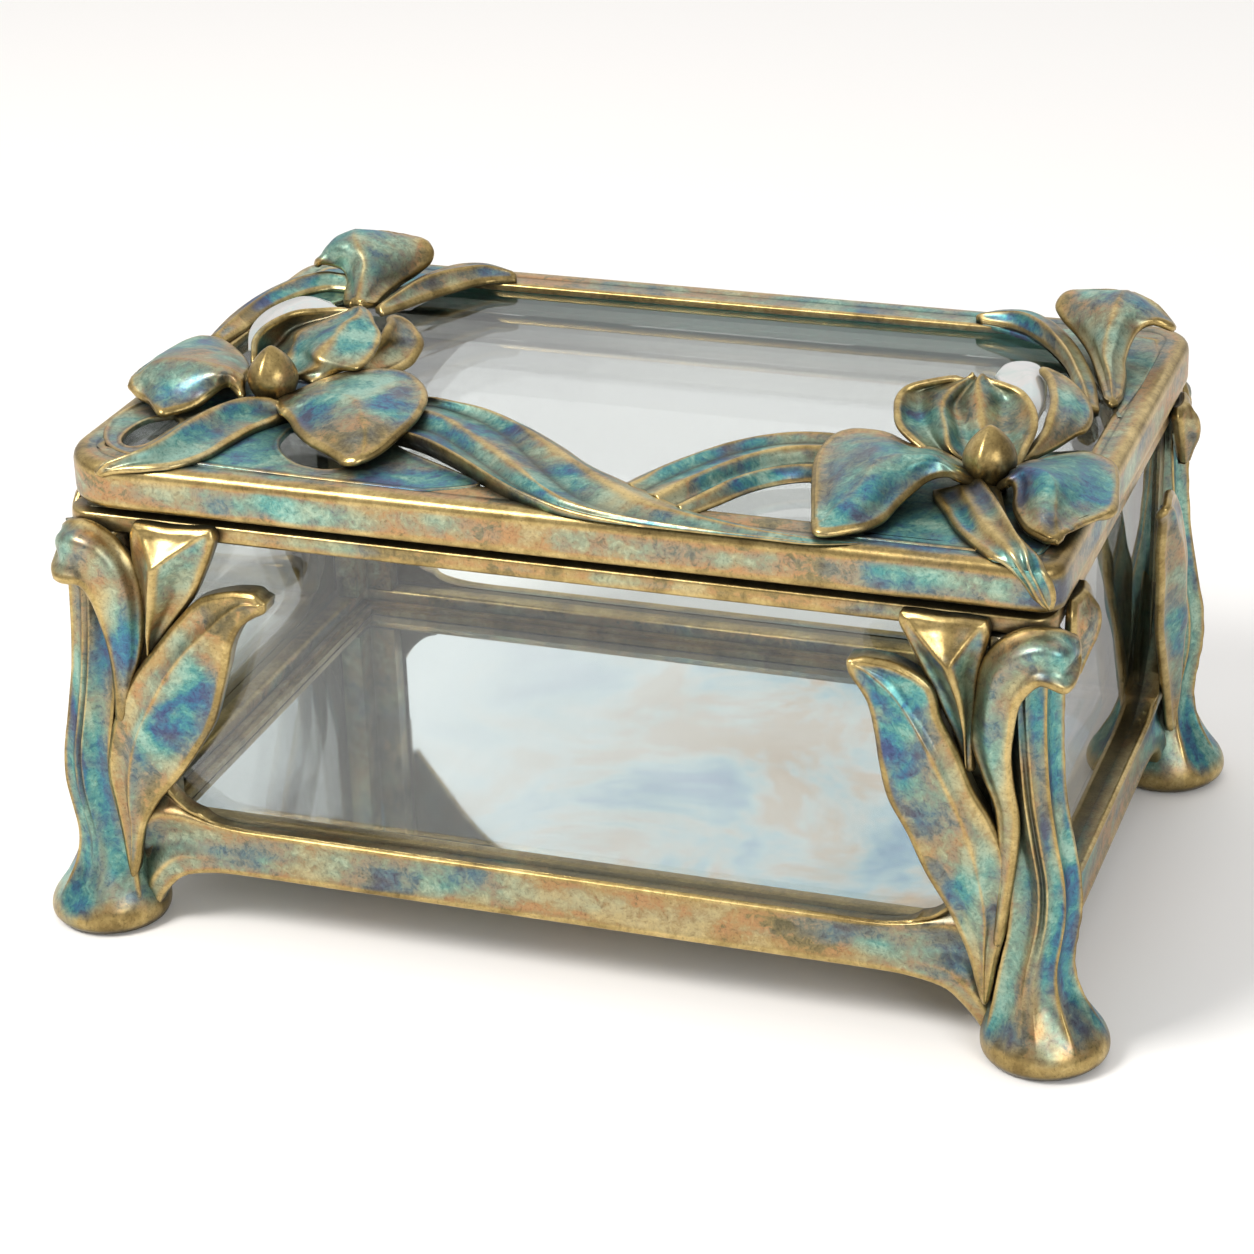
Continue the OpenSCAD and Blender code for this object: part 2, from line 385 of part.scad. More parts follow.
B_bud = [
  [[82.5, 65.5, 62], [83.2, 67, 62.5], [84, 65.5, 62]],
  [[77, 66, 70], [81, 68.5, 72], [84, 65.5, 72]],
  [[71.5, 66, 77.5], [78, 69.5, 80], [84.4, 65.5, 80]],
  [[65, 66, 84], [75, 69.8, 85], [85.4, 65.5, 85.5]],
  [[58, 66, 87.5], [70, 69, 88], [86, 65.3, 88.5]],
  [[55, 66, 90], [68, 66.3, 91], [86, 65.2, 90.6]]];

// ---- shared shapes ----
module bar_ring(x, y, w, z0, z1) {
  difference() {
    translate([-x, -y, z0]) cube([2 * x, 2 * y, z1 - z0]);
    translate([-x + w, -y + w, z0 - 1]) cube([2 * x - 2 * w, 2 * y - 2 * w, z1 - z0 + 2]);
  }
}
module block(x0, x1, y0, y1, z0, z1) { translate([x0, y0, z0]) cube([x1 - x0, y1 - y0, z1 - z0]); }
module round_plate(x, y, r, z0, z1) {
  translate([0, 0, z0]) linear_extrude(z1 - z0) union() {
    square([2 * x, 2 * (y - r)], center = true);
    square([2 * (x - r), 2 * y], center = true);
    for (sx = [-1, 1], sy = [-1, 1]) translate([sx * (x - r), sy * (y - r)]) circle(r);
  }
}
// lid outline: a larger radius at the left corners, as cast
module lid_outline() {
  r = [14, 4.5, 10, 13];
  hx = lid_l / 2; hy = lid_w / 2;
  c = [[-1, -1], [1, -1], [1, 1], [-1, 1]];
  difference() {
    square([lid_l, lid_w], center = true);
    for (i = [0 : 3]) translate([c[i][0] * (hx - r[i] / 2 + 1), c[i][1] * (hy - r[i] / 2 + 1)]) square(r[i] + 2, center = true);
  }
  for (i = [0 : 3]) translate([c[i][0] * (hx - r[i]), c[i][1] * (hy - r[i])]) circle(r[i]);
}
module leg_cut(r, z0, z1) {
  for (sx = [-1, 1], sy = [-1, 1]) translate([sx * leg_x, sy * leg_y, z0]) cylinder(r = r, h = z1 - z0);
}
module at_corner(sx, sy) { mirror([sx < 0 ? 1 : 0, 0, 0]) mirror([0, sy > 0 ? 1 : 0, 0]) children(); }

// ---- case ----
function arch(s) = [[90, base_z + 1], [90, base_z - 0.5], [88.6, 12], [87.6, 10], [86.3, 8], [85, 6], [84.9, 4], [83.6, 4], [82.6, 7], [80.6, 10], [77.6, 12.6], [73, 14.4], [68, base_z + 0.3]];
module arch_x() { translate([0, -case_w / 2, 0]) rotate([90, 0, 0]) translate([0, 0, -4]) linear_extrude(4) polygon(arch(1)); }
module arch_y() { translate([case_l / 2, 0, 0]) rotate([90, 0, 90]) translate([0, 0, -4]) linear_extrude(4) polygon([for (p = arch(1)) [-(p[0] - 36.6), p[1]]]); }
module fillet_x() { difference() { block(74, 91, -case_w / 2, -glass_y - glass_t - 0.2, base_top - 1, base_top + fillet_h); translate([74, 0, base_top + fillet_h]) rotate([90, 0, 0]) scale([14, fillet_h, 1]) cylinder(r = 1, h = 100); } }
module fillet_y() { difference() { block(glass_x + glass_t + 0.2, case_l / 2, -54, -37, base_top - 1, base_top + fillet_h); translate([0, -37, base_top + fillet_h]) rotate([0, 90, 0]) scale([fillet_h, 14, 1]) cylinder(r = 1, h = 120); } }
module base_frame() color(bronze) difference() {
  union() {
    bar_ring(case_l / 2, case_w / 2, rail_w, base_z, base_top);
    for (sx = [-1, 1], sy = [-1, 1]) at_corner(sx, sy) { arch_x(); arch_y(); fillet_x(); fillet_y(); }
  }
  leg_cut(leg_r + 0.05, base_z - 2, base_top + fillet_h + 1);
  block(-91.2, 91.2, -56.2, 56.2, base_z - 1, base_z + 1.6 + mirror_t);
  block(-94.6, 94.6, -59.6, 59.6, base_z - 1, base_z + 1.5);
  for (sy = [-1, 1]) block(-85.6, 85.6, sy > 0 ? glass_y - 0.05 : -glass_y - glass_t - 0.05, sy > 0 ? glass_y + glass_t + 0.05 : -glass_y + 0.05, base_top - 2, base_top + 1);
  for (sx = [-1, 1]) block(sx > 0 ? glass_x - 0.05 : -glass_x - glass_t - 0.05, sx > 0 ? glass_x + glass_t + 0.05 : -glass_x + 0.05, -51.6, 51.6, base_top - 2, base_top + 1);
  screws_at() translate([0, 0, 1]) cylinder(r = 0.8, h = 5.4);
}
module upper_rail() color(gold) difference() {
  union() {
    difference() {
      round_plate(case_l / 2, case_w / 2, 5, rail_z0, rail_z1);
      block(-case_l / 2 + 8, case_l / 2 - 8, -case_w / 2 + 8, case_w / 2 - 8, rail_z0 - 1, rail_z1 + 1);
    }
    difference() {
      round_plate(case_l / 2 - 3, case_w / 2 - 3, 5, rail_z1 - 0.5, step_z);
      block(-case_l / 2 + 8, case_l / 2 - 8, -case_w / 2 + 8, case_w / 2 - 8, rail_z0 - 1, step_z + 1);
    }
  }
  for (sy = [-1, 1]) block(-85.6, 85.6, sy > 0 ? glass_y - 0.05 : -glass_y - glass_t - 0.05, sy > 0 ? glass_y + glass_t + 0.05 : -glass_y + 0.05, rail_z0 - 1, rail_z0 + 1.5);
  for (sx = [-1, 1]) block(sx > 0 ? glass_x - 0.05 : -glass_x - glass_t - 0.05, sx > 0 ? glass_x + glass_t + 0.05 : -glass_x + 0.05, -51.6, 51.6, rail_z0 - 1, rail_z0 + 1.5);
  for (s = [-1, 1], k = [-1, 1]) translate([s * hinge_x + k * 8, case_w / 2 + 1, low_z]) rotate([90, 0, 0]) cylinder(r = 0.8, h = 3.7);
}
module floor_plate() color(gold) difference() {
  block(-94.4, 94.4, -59.4, 59.4, base_z, base_z + 1.4);
  leg_cut(leg_r + 0.3, base_z - 1, base_z + 3);
  screws_at() translate([0, 0, -1]) cylinder(r = 0.85, h = 5);
}
module floor_mirror() color([0.75, 0.82, 0.86]) block(-91, 91, -56, 56, base_z + 1.5, base_z + 1.5 + mirror_t);
module mirror_bead() color(gold) difference() {
  union() {
    bar_ring(89.3, 54.3, 3, base_z + 1.7 + mirror_t, base_z + 3 + mirror_t);
    bar_ring(89.3, 54.3, 1.4, base_z + 1.7 + mirror_t, base_z + 3.9 + mirror_t);
  }
  leg_cut(leg_r + 0.3, base_z, base_top);
}
module pane_x(s) color(clear) block(-85.5, 85.5, s > 0 ? glass_y : -glass_y - glass_t, s > 0 ? glass_y + glass_t : -glass_y, base_top - 1.9, rail_z0 + 1.4);
module pane_y(s) color(clear) block(s > 0 ? glass_x : -glass_x - glass_t, s > 0 ? glass_x + glass_t : -glass_x, -51.5, 51.5, base_top - 1.9, rail_z0 + 1.4);
module glass_front() pane_x(-1);
module glass_back() pane_x(1);
module glass_left() pane_y(-1);
module glass_right() pane_y(1);
module post() color(bronze) difference() {
  union() {
    block(82.5, 96.2, -61.3, -54.5, base_top, rail_z0);
    block(88.5, 96.2, -61.3, -48.5, base_top, rail_z0);
  }
  leg_cut(leg_r + 0.1, base_top - 1, rail_z0 + 1);
  block(60, 85.6, -glass_y - glass_t - 0.05, -glass_y + 0.05, base_top - 1, rail_z0 + 1);
  block(glass_x - 0.05, glass_x + glass_t + 0.05, -51.6, -20, base_top - 1, rail_z0 + 1);
  fillet_gap();
}
module fillet_gap() {
  block(60, 98, -case_w / 2 - 1, -glass_y - glass_t - 0.15, base_top - 1, base_top + fillet_h + 0.1);
  block(glass_x + glass_t + 0.15, case_l / 2 + 1, -60, -30, base_top - 1, base_top + fillet_h + 0.1);
}
module post_front_left() at_corner(-1, -1) post();
module post_front_right() at_corner(1, -1) post();
module post_rear_left() at_corner(-1, 1) post();
module post_rear_right() at_corner(1, 1) post();
// turned core of each leg: foot, waist and column
module leg() color(bronze) translate([leg_x, -leg_y, 0]) rotate_extrude($fn = 64) polygon([[0, pad_t], [foot_r - 2, pad_t], [foot_r - 0.5, 2], [foot_r, 4], [foot_r - 0.5, 6], [foot_r - 1.9, 8], [foot_r - 3.4, 10], [8, 12], [leg_r, base_z - 1], [leg_r, base_top], [6.4, 30], [6.6, 38], [6.9, 46], [6.6, 56], [6, 66], [5.4, 74], [4.6, 82], [4, rail_z0], [0, rail_z0]]);
module leg_front_left() at_corner(-1, -1) leg();
module leg_front_right() at_corner(1, -1) leg();
module leg_rear_left() at_corner(-1, 1) leg();
module leg_rear_right() at_corner(1, 1) leg();
module foot_felts() color([0.15, 0.15, 0.14]) for (sx = [-1, 1], sy = [-1, 1]) translate([sx * leg_x, sy * leg_y, 0]) cylinder(r = 8, h = pad_t);
module screws_at() for (p = [[-60, -57.9], [60, -57.9], [-60, 57.9], [60, 57.9], [-92.9, 0], [92.9, 0]]) translate([p[0], p[1], base_z]) children();
module case_screws() color(gold) {
  screws_at() union() { translate([0, 0, -0.9]) cylinder(r = 1.5, h = 0.9); translate([0, 0, -0.5]) cylinder(r = 0.75, h = 6.4); }
  for (s = [-1, 1], k = [-1, 1]) translate([s * hinge_x + k * 8, 0, low_z]) rotate([-90, 0, 0]) union() {
    translate([0, 0, case_w / 2 + 1]) cylinder(r = 1.4, h = 0.7);
    translate([0, 0, case_w / 2 - 2.6]) cylinder(r = 0.75, h = 3.8);
  }
}
// hood on the leg's corner, bowed outwards and turned down at its lip
hood_d = [[-0.1, 1.4, 0], [-0.1, 1.4, 0], [-0.1, 1.4, 0], [-0.1, 1.4, 0], [-0.1, 1.4, 0],
  [-0.5, 1.3, 0], [-0.9, 1.1, 0], [-1.1, 0.9, 0], [-1.3, 0.6, 0], [-1.4, 0.4, 0]];
module hood_shell() color(bronze) shell(hood, hood_d, 1, 2);
module hood_front_left() at_corner(-1, -1) hood_shell();
module hood_front_right() at_corner(1, -1) hood_shell();
module hood_rear_left() at_corner(-1, 1) hood_shell();
module hood_rear_right() at_corner(1, 1) hood_shell();
module leaf_front_left() color(bronze) shell(F_leaf_l, [0, 1.8, 0], 1, 2);
module leaf_front_right() color(bronze) shell(F_leaf_r, [0, 1.8, 0], 1, 2);
module leaf_side_right() color(bronze) shell(S_leaf, [-1.6, 0, 0], 1, 2);
module leaf_side_left() color(bronze) shell(mx(S_leaf, -1, 1), [1.6, 0, 0], 1, 2);
module buds_front_left() color(gold) { shell(F_bud_l, [0, 1.6, 0], 1, 2); mirror([1, 0, 0]) shell(S_bud, [-1.6, 0, 0], 1, 2); }
module buds_front_right() color(gold) { shell(F_bud_r, [0, 1.6, 0], 1, 2); shell(S_bud, [-1.6, 0, 0], 1, 2); }
module buds_rear() color(gold) { shell(B_bud, [0, -1.6, 0], 1, 2); mirror([0, 1, 0]) shell(S_bud, [-1.6, 0, 0], 1, 2); }
module buds_rear_left() mirror([1, 0, 0]) buds_rear();
module buds_rear_right() buds_rear();

// ---- hinge ----
module knuckle(x0, x1, r) difference() {
  translate([x0, hinge_y, hinge_z]) rotate([0, 90, 0]) cylinder(r = knuckle_r, h = x1 - x0);
  translate([x0 - 1, hinge_y, hinge_z]) rotate([0, 90, 0]) cylinder(r = r, h = x1 - x0 + 2);
}
module lower_web(x0, x1) difference() {
  block(x0, x1, case_w / 2 + 0.5, hinge_y, 90.2, 91.6);
  translate([x0 - 1, hinge_y, hinge_z]) rotate([0, 90, 0]) cylinder(r = 1.2, h = x1 - x0 + 2);
}
module hinge_leaves_lower() color(gold) for (s = [-1, 1]) difference() {
  union() {
    block(s * hinge_x - 12, s * hinge_x + 12, case_w / 2, case_w / 2 + 1, 87.2, 91.6);
    for (k = [-1, 1]) {
      x0 = s * hinge_x + (k > 0 ? 4.2 : -12);
      knuckle(x0, x0 + 7.8, pin_r + 0.02);
      lower_web(x0, x0 + 7.8);
    }
  }
  for (k = [-1, 1]) translate([s * hinge_x + k * 8, case_w / 2 + 2, low_z]) rotate([90, 0, 0]) cylinder(r = 0.85, h = 4);
}
module hinge_leaves_upper() color(gold) for (s = [-1, 1]) difference() {
  union() {
    block(s * hinge_x - 12, s * hinge_x + 12, lid_w / 2, lid_w / 2 + 0.9, 94.4, 100.8);
    block(s * hinge_x - 3.9, s * hinge_x + 3.9, lid_w / 2, lid_w / 2 + 0.9, 93.2, 95);
    difference() {
      union() {
        knuckle(s * hinge_x - 3.9, s * hinge_x + 3.9, pin_r + pin_gap);
        block(s * hinge_x - 3.9, s * hinge_x + 3.9, lid_w / 2 + 0.4, hinge_y, 93.2, 94);
      }
      translate([s * hinge_x - 5, hinge_y, hinge_z]) rotate([0, 90, 0]) cylinder(r = pin_r + pin_gap, h = 10);
    }
  }
  for (k = [-1, 1]) translate([s * hinge_x + k * 8, lid_w / 2 + 2, 97.6]) rotate([90, 0, 0]) cylinder(r = 0.85, h = 4);
}
module hinge_pins() color(gold) for (s = [-1, 1]) translate([s * hinge_x, hinge_y, hinge_z]) rotate([0, 90, 0]) union() {
  translate([0, 0, -12.6]) cylinder(r = pin_r, h = 25.2);
  for (k = [-1, 1]) translate([0, 0, k > 0 ? 12.2 : -13]) cylinder(r = 1.4, h = 0.8);
}

// ---- lid ----
// flat corner pieces behind the lilies, cast with the frame
module spandrels() for (s = [-1, 1]) mirror([s < 0 ? 1 : 0, 0, 0]) translate([0, 0, web_z0]) linear_extrude(web_z1 - web_z0)
  polygon([[93.5, 55.5], [93.5, 12], [88, 24], [82, 36], [74, 46], [64, 53], [57, 55.5]]);
module lid_frame() color(bronze) union() {
  spandrels();
  difference() {
  union() {
    translate([0, 0, lid_bot]) linear_extrude(lid_t - 1.2) lid_outline();
    translate([0, 0, lid_top - 1.2]) linear_extrude(1.2) intersection() { lid_outline(); square([lid_l - 1.6, lid_w - 1.6], center = true); }
  }
  block(-lid_l / 2 + lid_rail_x, lid_l / 2 - lid_rail_x, -lid_w / 2 + lid_rail_y, lid_w / 2 - lid_rail_y, lid_bot - 1, lid_top + 1);
  round_plate(95.6, 60.6, 10, lid_bot - 1, glass_z1 + 0.1);
  for (s = [-1, 1], k = [-1, 1]) translate([s * hinge_x + k * 8, lid_w / 2 + 1, 97.6]) rotate([90, 0, 0]) cylinder(r = 0.8, h = 4);
}
}
module lid_glass() color(clear) round_plate(95.4, 60.4, 10, glass_z0, glass_z1);
module lid_bead() color(gold) difference() {
  round_plate(95.4, 60.4, 10, glass_z0 - 2.8, glass_z0 - 0.1);
  round_plate(91.5, 56.5, 8, glass_z0 - 4, glass_z0 + 1);
}
module lid_screws() color(gold) for (s = [-1, 1], k = [-1, 1]) translate([s * hinge_x + k * 8, 0, 97.6]) rotate([-90, 0, 0]) union() {
  translate([0, 0, lid_w / 2 + 0.9]) cylinder(r = 1.5, h = 0.7);
  translate([0, 0, lid_w / 2 - 2.6]) cylinder(r = 0.75, h = 3.7);
}
web_z0 = glass_z1 + 0.15;
web_z1 = lid_top - 0.1;
module web_left() color(bronze) translate([0, 0, web_z0]) linear_extrude(web_z1 - web_z0) difference() {
  polygon([[-92.9, -54.9], [-12, -54.9], [-18, -51.5], [-26, -46], [-34, -41.5], [-40, -37], [-44, -30], [-48, -24], [-54, -18], [-60, -13], [-68, -11], [-78, -12], [-86, -16], [-92.9, -22]]);
  polygon([[-53, -47], [-47, -52.5], [-41, -53], [-37, -49], [-38, -44], [-45, -43]]);
}
module web_right() color(bronze) translate([0, 0, web_z0]) linear_extrude(web_z1 - web_z0)
  polygon([[92.9, -54.9], [61, -54.9], [64, -48], [64, -42], [56, -38], [46, -37.5], [44, -34], [46, -26], [52, -20], [60, -17], [68, -14], [76, -12], [84, -13], [92.9, -20]]);
seat = lid_top + 0.05;
module stems_left() color(bronze) shell(L_stems, [0, 0, -3], 1, 1, seat);
module stems_right() color(bronze) difference() {
  shell(R_stems, [0, 0, -3], 1, 1, seat);
  stem_clear();
}
module stem_clear() { translate([0, 0, lid_top - 1]) linear_extrude(6) polygon([[13.5, -50.5], [9, -60], [24, -63], [26, -56.4]]); }
module egg(x, y) color(gold) translate([x, y, 0]) rotate_extrude($fn = 48) polygon([[0, seat], [4.8, seat], [4.8, 103.6], [4, 104.4], [4.5, 105.6], [4.9, 107], [5, 108.4], [4.6, 110.2], [3.8, 111.8], [2.6, 113.2], [1.2, 114.2], [0, 114.6]]);
module iris_left_bud() egg(-69, -26.5);
module iris_right_bud() egg(79, -32);
module iris_left_standard() color(bronze) shell(L_standard, [0, 0, -1.4], 1, 1, seat);
module iris_left_outer_fall() color(bronze) shell(L_outer_fall, [0, 0, -1.5], 1, 2, seat);
module iris_left_inner_fall() color(bronze) shell(L_inner_fall, [0, 0, -1.5], 1, 2, seat);
module iris_left_side_petal() color(bronze) shell(L_side, [0, 0, -1.4], 1, 1, seat);
module iris_left_pearl() color([0.92, 0.92, 0.90]) shell(L_pearl, [0, 0, -1.6], 1, 1, seat);
module iris_left_spear() color(gold) { shell(L_spear_b, [0, 0, -2.5], 1, 1, seat); shell(L_spear_a, [0, 0, -3], 1, 1, seat); }
module iris_right_standard() color(bronze) shell(R_standard, [0, 0, -1.4], 1, 1, seat);
module iris_right_outer_fall() color(bronze) shell(R_outer_fall, [0, 0, -1.5], 1, 2, seat);
module iris_right_inner_fall() color(bronze) shell(R_inner_fall, [0, 0, -1.5], 1, 2, seat);
module iris_right_side_petal() color(bronze) shell(R_side, [0, 0, -1.4], 1, 1, seat);
module iris_right_pearl() color([0.92, 0.92, 0.90]) shell(R_pearl, [0, 0, -1.6], 1, 1, seat);
module iris_right_spear() color(gold) { shell(R_spear_a, [0, 0, -3], 1, 1, seat); shell(R_spear_b, [0, 0, -3], 1, 1, seat); shell(R_spear_c, [0, 0, -2], 1, 1, seat); shell(R_tail, [0, 1.4, 0], 1, 1, -1000, -lid_w / 2 - 0.05); }
module lily_left() color(bronze) shell(L_lily, [0, 0, -1.5], 1, 1, seat);
module lily_right() color(bronze) shell(R_lily, [0, 0, -1.5], 1, 1, seat);
module lily_stems_left() color(bronze) { shell(L_stem_side, [0, 0, -3], 1, 1, seat); shell(L_stem_back, [0, 0, -3], 1, 1, seat); }
module lily_stems_right() color(bronze) shell(R_stem_back, [0, 0, -3], 1, 1, seat);

base_frame();
upper_rail();
floor_plate();
floor_mirror();
mirror_bead();
glass_front();
glass_back();
glass_left();
glass_right();
post_front_left();
post_front_right();
post_rear_left();
post_rear_right();
leg_front_left();
leg_front_right();
leg_rear_left();
leg_rear_right();
hood_front_left();
hood_front_right();
hood_rear_left();
hood_rear_right();
leaf_front_left();
leaf_front_right();
leaf_side_left();
leaf_side_right();
buds_front_left();
buds_front_right();
buds_rear_left();
buds_rear_right();
foot_felts();
case_screws();
hinge_leaves_lower();
hinge_pins();
lid_frame();
lid_glass();
lid_bead();
hinge_leaves_upper();
lid_screws();
web_left();
web_right();
stems_left();
stems_right();
iris_left_bud();
iris_left_standard();
iris_left_outer_fall();
iris_left_inner_fall();
iris_left_side_petal();
iris_left_pearl();
iris_left_spear();
iris_right_bud();
iris_right_standard();
iris_right_outer_fall();
iris_right_inner_fall();
iris_right_side_petal();
iris_right_pearl();
iris_right_spear();
lily_left();
lily_right();
lily_stems_left();
lily_stems_right();
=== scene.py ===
import bpy, bmesh, math
import numpy as np
from mathutils import Vector, Matrix
from mathutils.geometry import tessellate_polygon


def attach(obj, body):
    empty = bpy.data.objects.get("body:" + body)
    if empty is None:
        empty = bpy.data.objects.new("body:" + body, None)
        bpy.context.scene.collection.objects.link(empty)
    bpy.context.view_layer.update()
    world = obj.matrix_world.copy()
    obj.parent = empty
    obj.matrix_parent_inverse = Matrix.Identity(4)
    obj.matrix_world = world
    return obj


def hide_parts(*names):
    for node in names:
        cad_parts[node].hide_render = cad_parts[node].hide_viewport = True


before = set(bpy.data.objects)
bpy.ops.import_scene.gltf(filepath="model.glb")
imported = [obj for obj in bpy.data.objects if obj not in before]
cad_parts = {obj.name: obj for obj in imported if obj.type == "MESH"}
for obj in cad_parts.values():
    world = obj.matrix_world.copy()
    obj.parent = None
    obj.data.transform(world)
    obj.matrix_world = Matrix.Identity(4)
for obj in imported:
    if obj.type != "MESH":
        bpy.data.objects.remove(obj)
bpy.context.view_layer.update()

MM = 0.001

# ---------------------------------------------------------------- control points, in millimetres
# rows run from the root of a petal to its tip, and each row runs across it
L_outer_fall = [
  [[-79, -16, 105], [-75, -27, 107.5], [-74, -31, 105.5]],
  [[-85, -8, 105], [-77, -28, 109.5], [-77, -30, 107]],
  [[-93, 0, 104.5], [-80, -29, 110.5], [-79, -32, 106.5]],
  [[-98, 1, 104.5], [-85, -28, 110.5], [-82, -35, 104.5]],
  [[-100, -2, 104.5], [-91, -27, 110], [-85, -38, 104]],
  [[-101, -8, 104.5], [-95, -27, 109], [-88, -40, 104]],
  [[-101, -15, 104.8], [-97, -29, 107.5], [-93, -35, 104]],
  [[-101, -21, 105], [-99, -30, 106], [-97, -33, 104.5]]]
L_standard = [
  [[-77, -18, 106], [-74, -19, 105.5], [-71, -20, 105.5], [-66, -20.8, 106.5], [-62.5, -22.4, 106.5]],
  [[-78, -15, 108], [-78, -11, 106.5], [-71, -14, 108], [-62, -20.4, 109], [-58, -20, 108]],
  [[-79, -12, 110], [-77, -6, 107.5], [-71, -11, 109.5], [-62, -19, 111], [-54, -19, 109]],
  [[-78, -8, 111.5], [-76, -3, 109], [-71, -8, 111], [-61, -13, 112.5], [-53, -14, 110]],
  [[-75, -3, 112.5], [-73, -1, 110.5], [-68, -5, 112], [-61, -8, 113.5], [-54, -7, 111.5]],
  [[-70, 0, 113], [-68, 0, 112], [-65, -2, 113], [-60, -4, 114], [-57, -3, 113]],
  [[-64.5, 2, 113.5], [-63.5, 1.5, 113.5], [-62.5, 1.5, 114], [-61, 1, 114.2], [-59.5, 1, 114]]]
L_pearl = [
  [[-84, -6, 105.5], [-83, -6.5, 105.8], [-81, -7.5, 106]],
  [[-87, 2, 107], [-84.5, 1, 107.5], [-82, 0, 107.5]],
  [[-86.5, 9, 108.5], [-83.5, 7.5, 109], [-80.5, 5.5, 108.5]],
  [[-83, 15, 109.5], [-80, 12, 110], [-76.5, 7.5, 109.5]],
  [[-79, 15.5, 110], [-76, 13, 110.3], [-72.5, 9, 110]],
  [[-74, 13.5, 110], [-72, 11.5, 110], [-69.5, 9.5, 110]]]
L_side = [
  [[-59, -13, 104], [-57, -14, 104.3], [-56, -13, 104]],
  [[-57, -9, 106], [-55, -9, 105.3], [-52.5, -9, 104]],
  [[-55.5, -6, 108], [-54, -3, 106.3], [-50, -4, 104.5]],
  [[-54.5, -4, 109.5], [-52, 1, 107.5], [-49, -1, 105.5]],
  [[-54.5, -1, 110.5], [-53, 4, 108.5], [-49.5, 4, 107]],
  [[-55, 2, 111], [-54.5, 6, 110], [-53, 8, 108.5]],
  [[-56.5, 4, 111.3], [-56, 6, 111], [-55, 8, 110]]]
R_outer_fall = [
  [[83.6, -28, 105.5], [84.8, -33.5, 106.5], [83.6, -37.6, 105]],
  [[84.5, -26, 105.5], [85, -36.5, 108.5], [83.5, -38.5, 106.5]],
  [[86.6, -22.5, 105], [89, -39, 110], [85, -39, 106.5]],
  [[90, -18.5, 104.8], [92, -42, 110.5], [86, -41, 105.8]],
  [[94.6, -16.5, 104.8], [94, -45, 110], [86.5, -44, 104.8]],
  [[100, -21, 104.8], [95, -48, 108.5], [88, -48, 104.4]],
  [[103, -33, 104.6], [95.5, -51, 106.8], [91, -53, 104]],
  [[104, -42, 104.4], [96.5, -54, 105.2], [94, -55.5, 104]],
  [[100, -49, 104], [97.5, -56, 104.4], [96, -57, 104]]]
R_inner_fall = [
  [[73, -30.5, 105.5], [73.4, -35.5, 106.8], [75, -38.4, 105]],
  [[71, -28, 106], [73, -38, 109], [74.5, -39, 107]],
  [[67, -26, 106.5], [70, -39, 110.5], [72, -40, 107.5]],
  [[62, -25, 106.5], [67, -41, 111], [69.5, -42, 107]],
  [[57, -22, 107], [64, -42, 111], [67.5, -46, 106]],
  [[53, -21, 107], [61, -44, 110.5], [66, -50, 105]],
  [[49, -22, 107], [60, -48, 109.5], [65, -55, 104.2]],
  [[47, -27, 107], [59, -53, 108], [63, -59, 104]],
  [[47, -36, 106.5], [57, -57, 106.5], [60, -61.5, 104]],
  [[50, -48, 106], [55.5, -60, 105], [57.5, -63, 104]],
  [[52.5, -57, 105], [54, -62, 104.2], [55, -64, 104]]]
R_pearl = [
  [[70, 10, 108.5], [71, 8.5, 109], [72, 6.5, 109]],
  [[71, 15.5, 109], [74, 10, 109.5], [76, 2.5, 109]],
  [[74.5, 16.5, 109.5], [76.5, 8, 110], [78.5, -1.5, 109]],
  [[78, 14, 109.5], [79, 4, 110], [80.5, -6, 108.5]],
  [[81, 6.5, 108.5], [82, -1, 108.5], [82, -10, 107.5]],
  [[82.5, -1.5, 107.5], [82.7, -7, 107.3], [82.8, -12, 106.8]]]
R_side = [
  [[83.6, -23.5, 105.4], [84.4, -22.5, 105.2], [85, -20.5, 104.4]],
  [[84.5, -19, 106.4], [86, -17.5, 106], [87.5, -14.5, 104.4]],
  [[85.5, -14, 107.6], [87.8, -12.5, 107], [89.6, -9.5, 104.8]],
  [[85.5, -10.5, 109], [88.5, -9.5, 108], [91.5, -6.5, 105.5]],
  [[85, -4.5, 110], [88, -4.5, 109], [91.5, -1, 106.5]],
  [[83.5, 1, 110.5], [86, 1.5, 110], [89, 4.5, 108]],
  [[81.5, 6, 110.8], [83, 6.5, 110.6], [85, 8.5, 109.5]],
  [[79, 9.5, 111], [79.8, 9.8, 111], [80.5, 10.5, 110.6]]]
# the spears' tail turned down over the corner of the lid
L_lily = [
  [[-79, 32, 103], [-77, 31, 103.8], [-74, 30, 104.2], [-72, 32, 103]],
  [[-81, 37, 103.6], [-78, 34, 105.2], [-74, 33, 105.6], [-72, 38, 103.5]],
  [[-82, 41, 104.8], [-79, 37, 107], [-74, 37, 107], [-71, 44, 104]],
  [[-84, 43, 106.5], [-80, 40, 109.5], [-74, 40, 109.2], [-69, 48, 105]],
  [[-87, 43, 107.5], [-83, 42, 111.5], [-75, 43, 111.5], [-67, 51, 107]],
  [[-90, 43, 107.8], [-86, 44, 112.3], [-77, 47, 113], [-67, 53, 109]],
  [[-92, 46, 106.5], [-88, 49, 112], [-79, 52, 113.2], [-69, 55, 110.5]],
  [[-93, 50, 105], [-89, 55, 109.5], [-81, 57, 111], [-71, 58, 109.5]]]
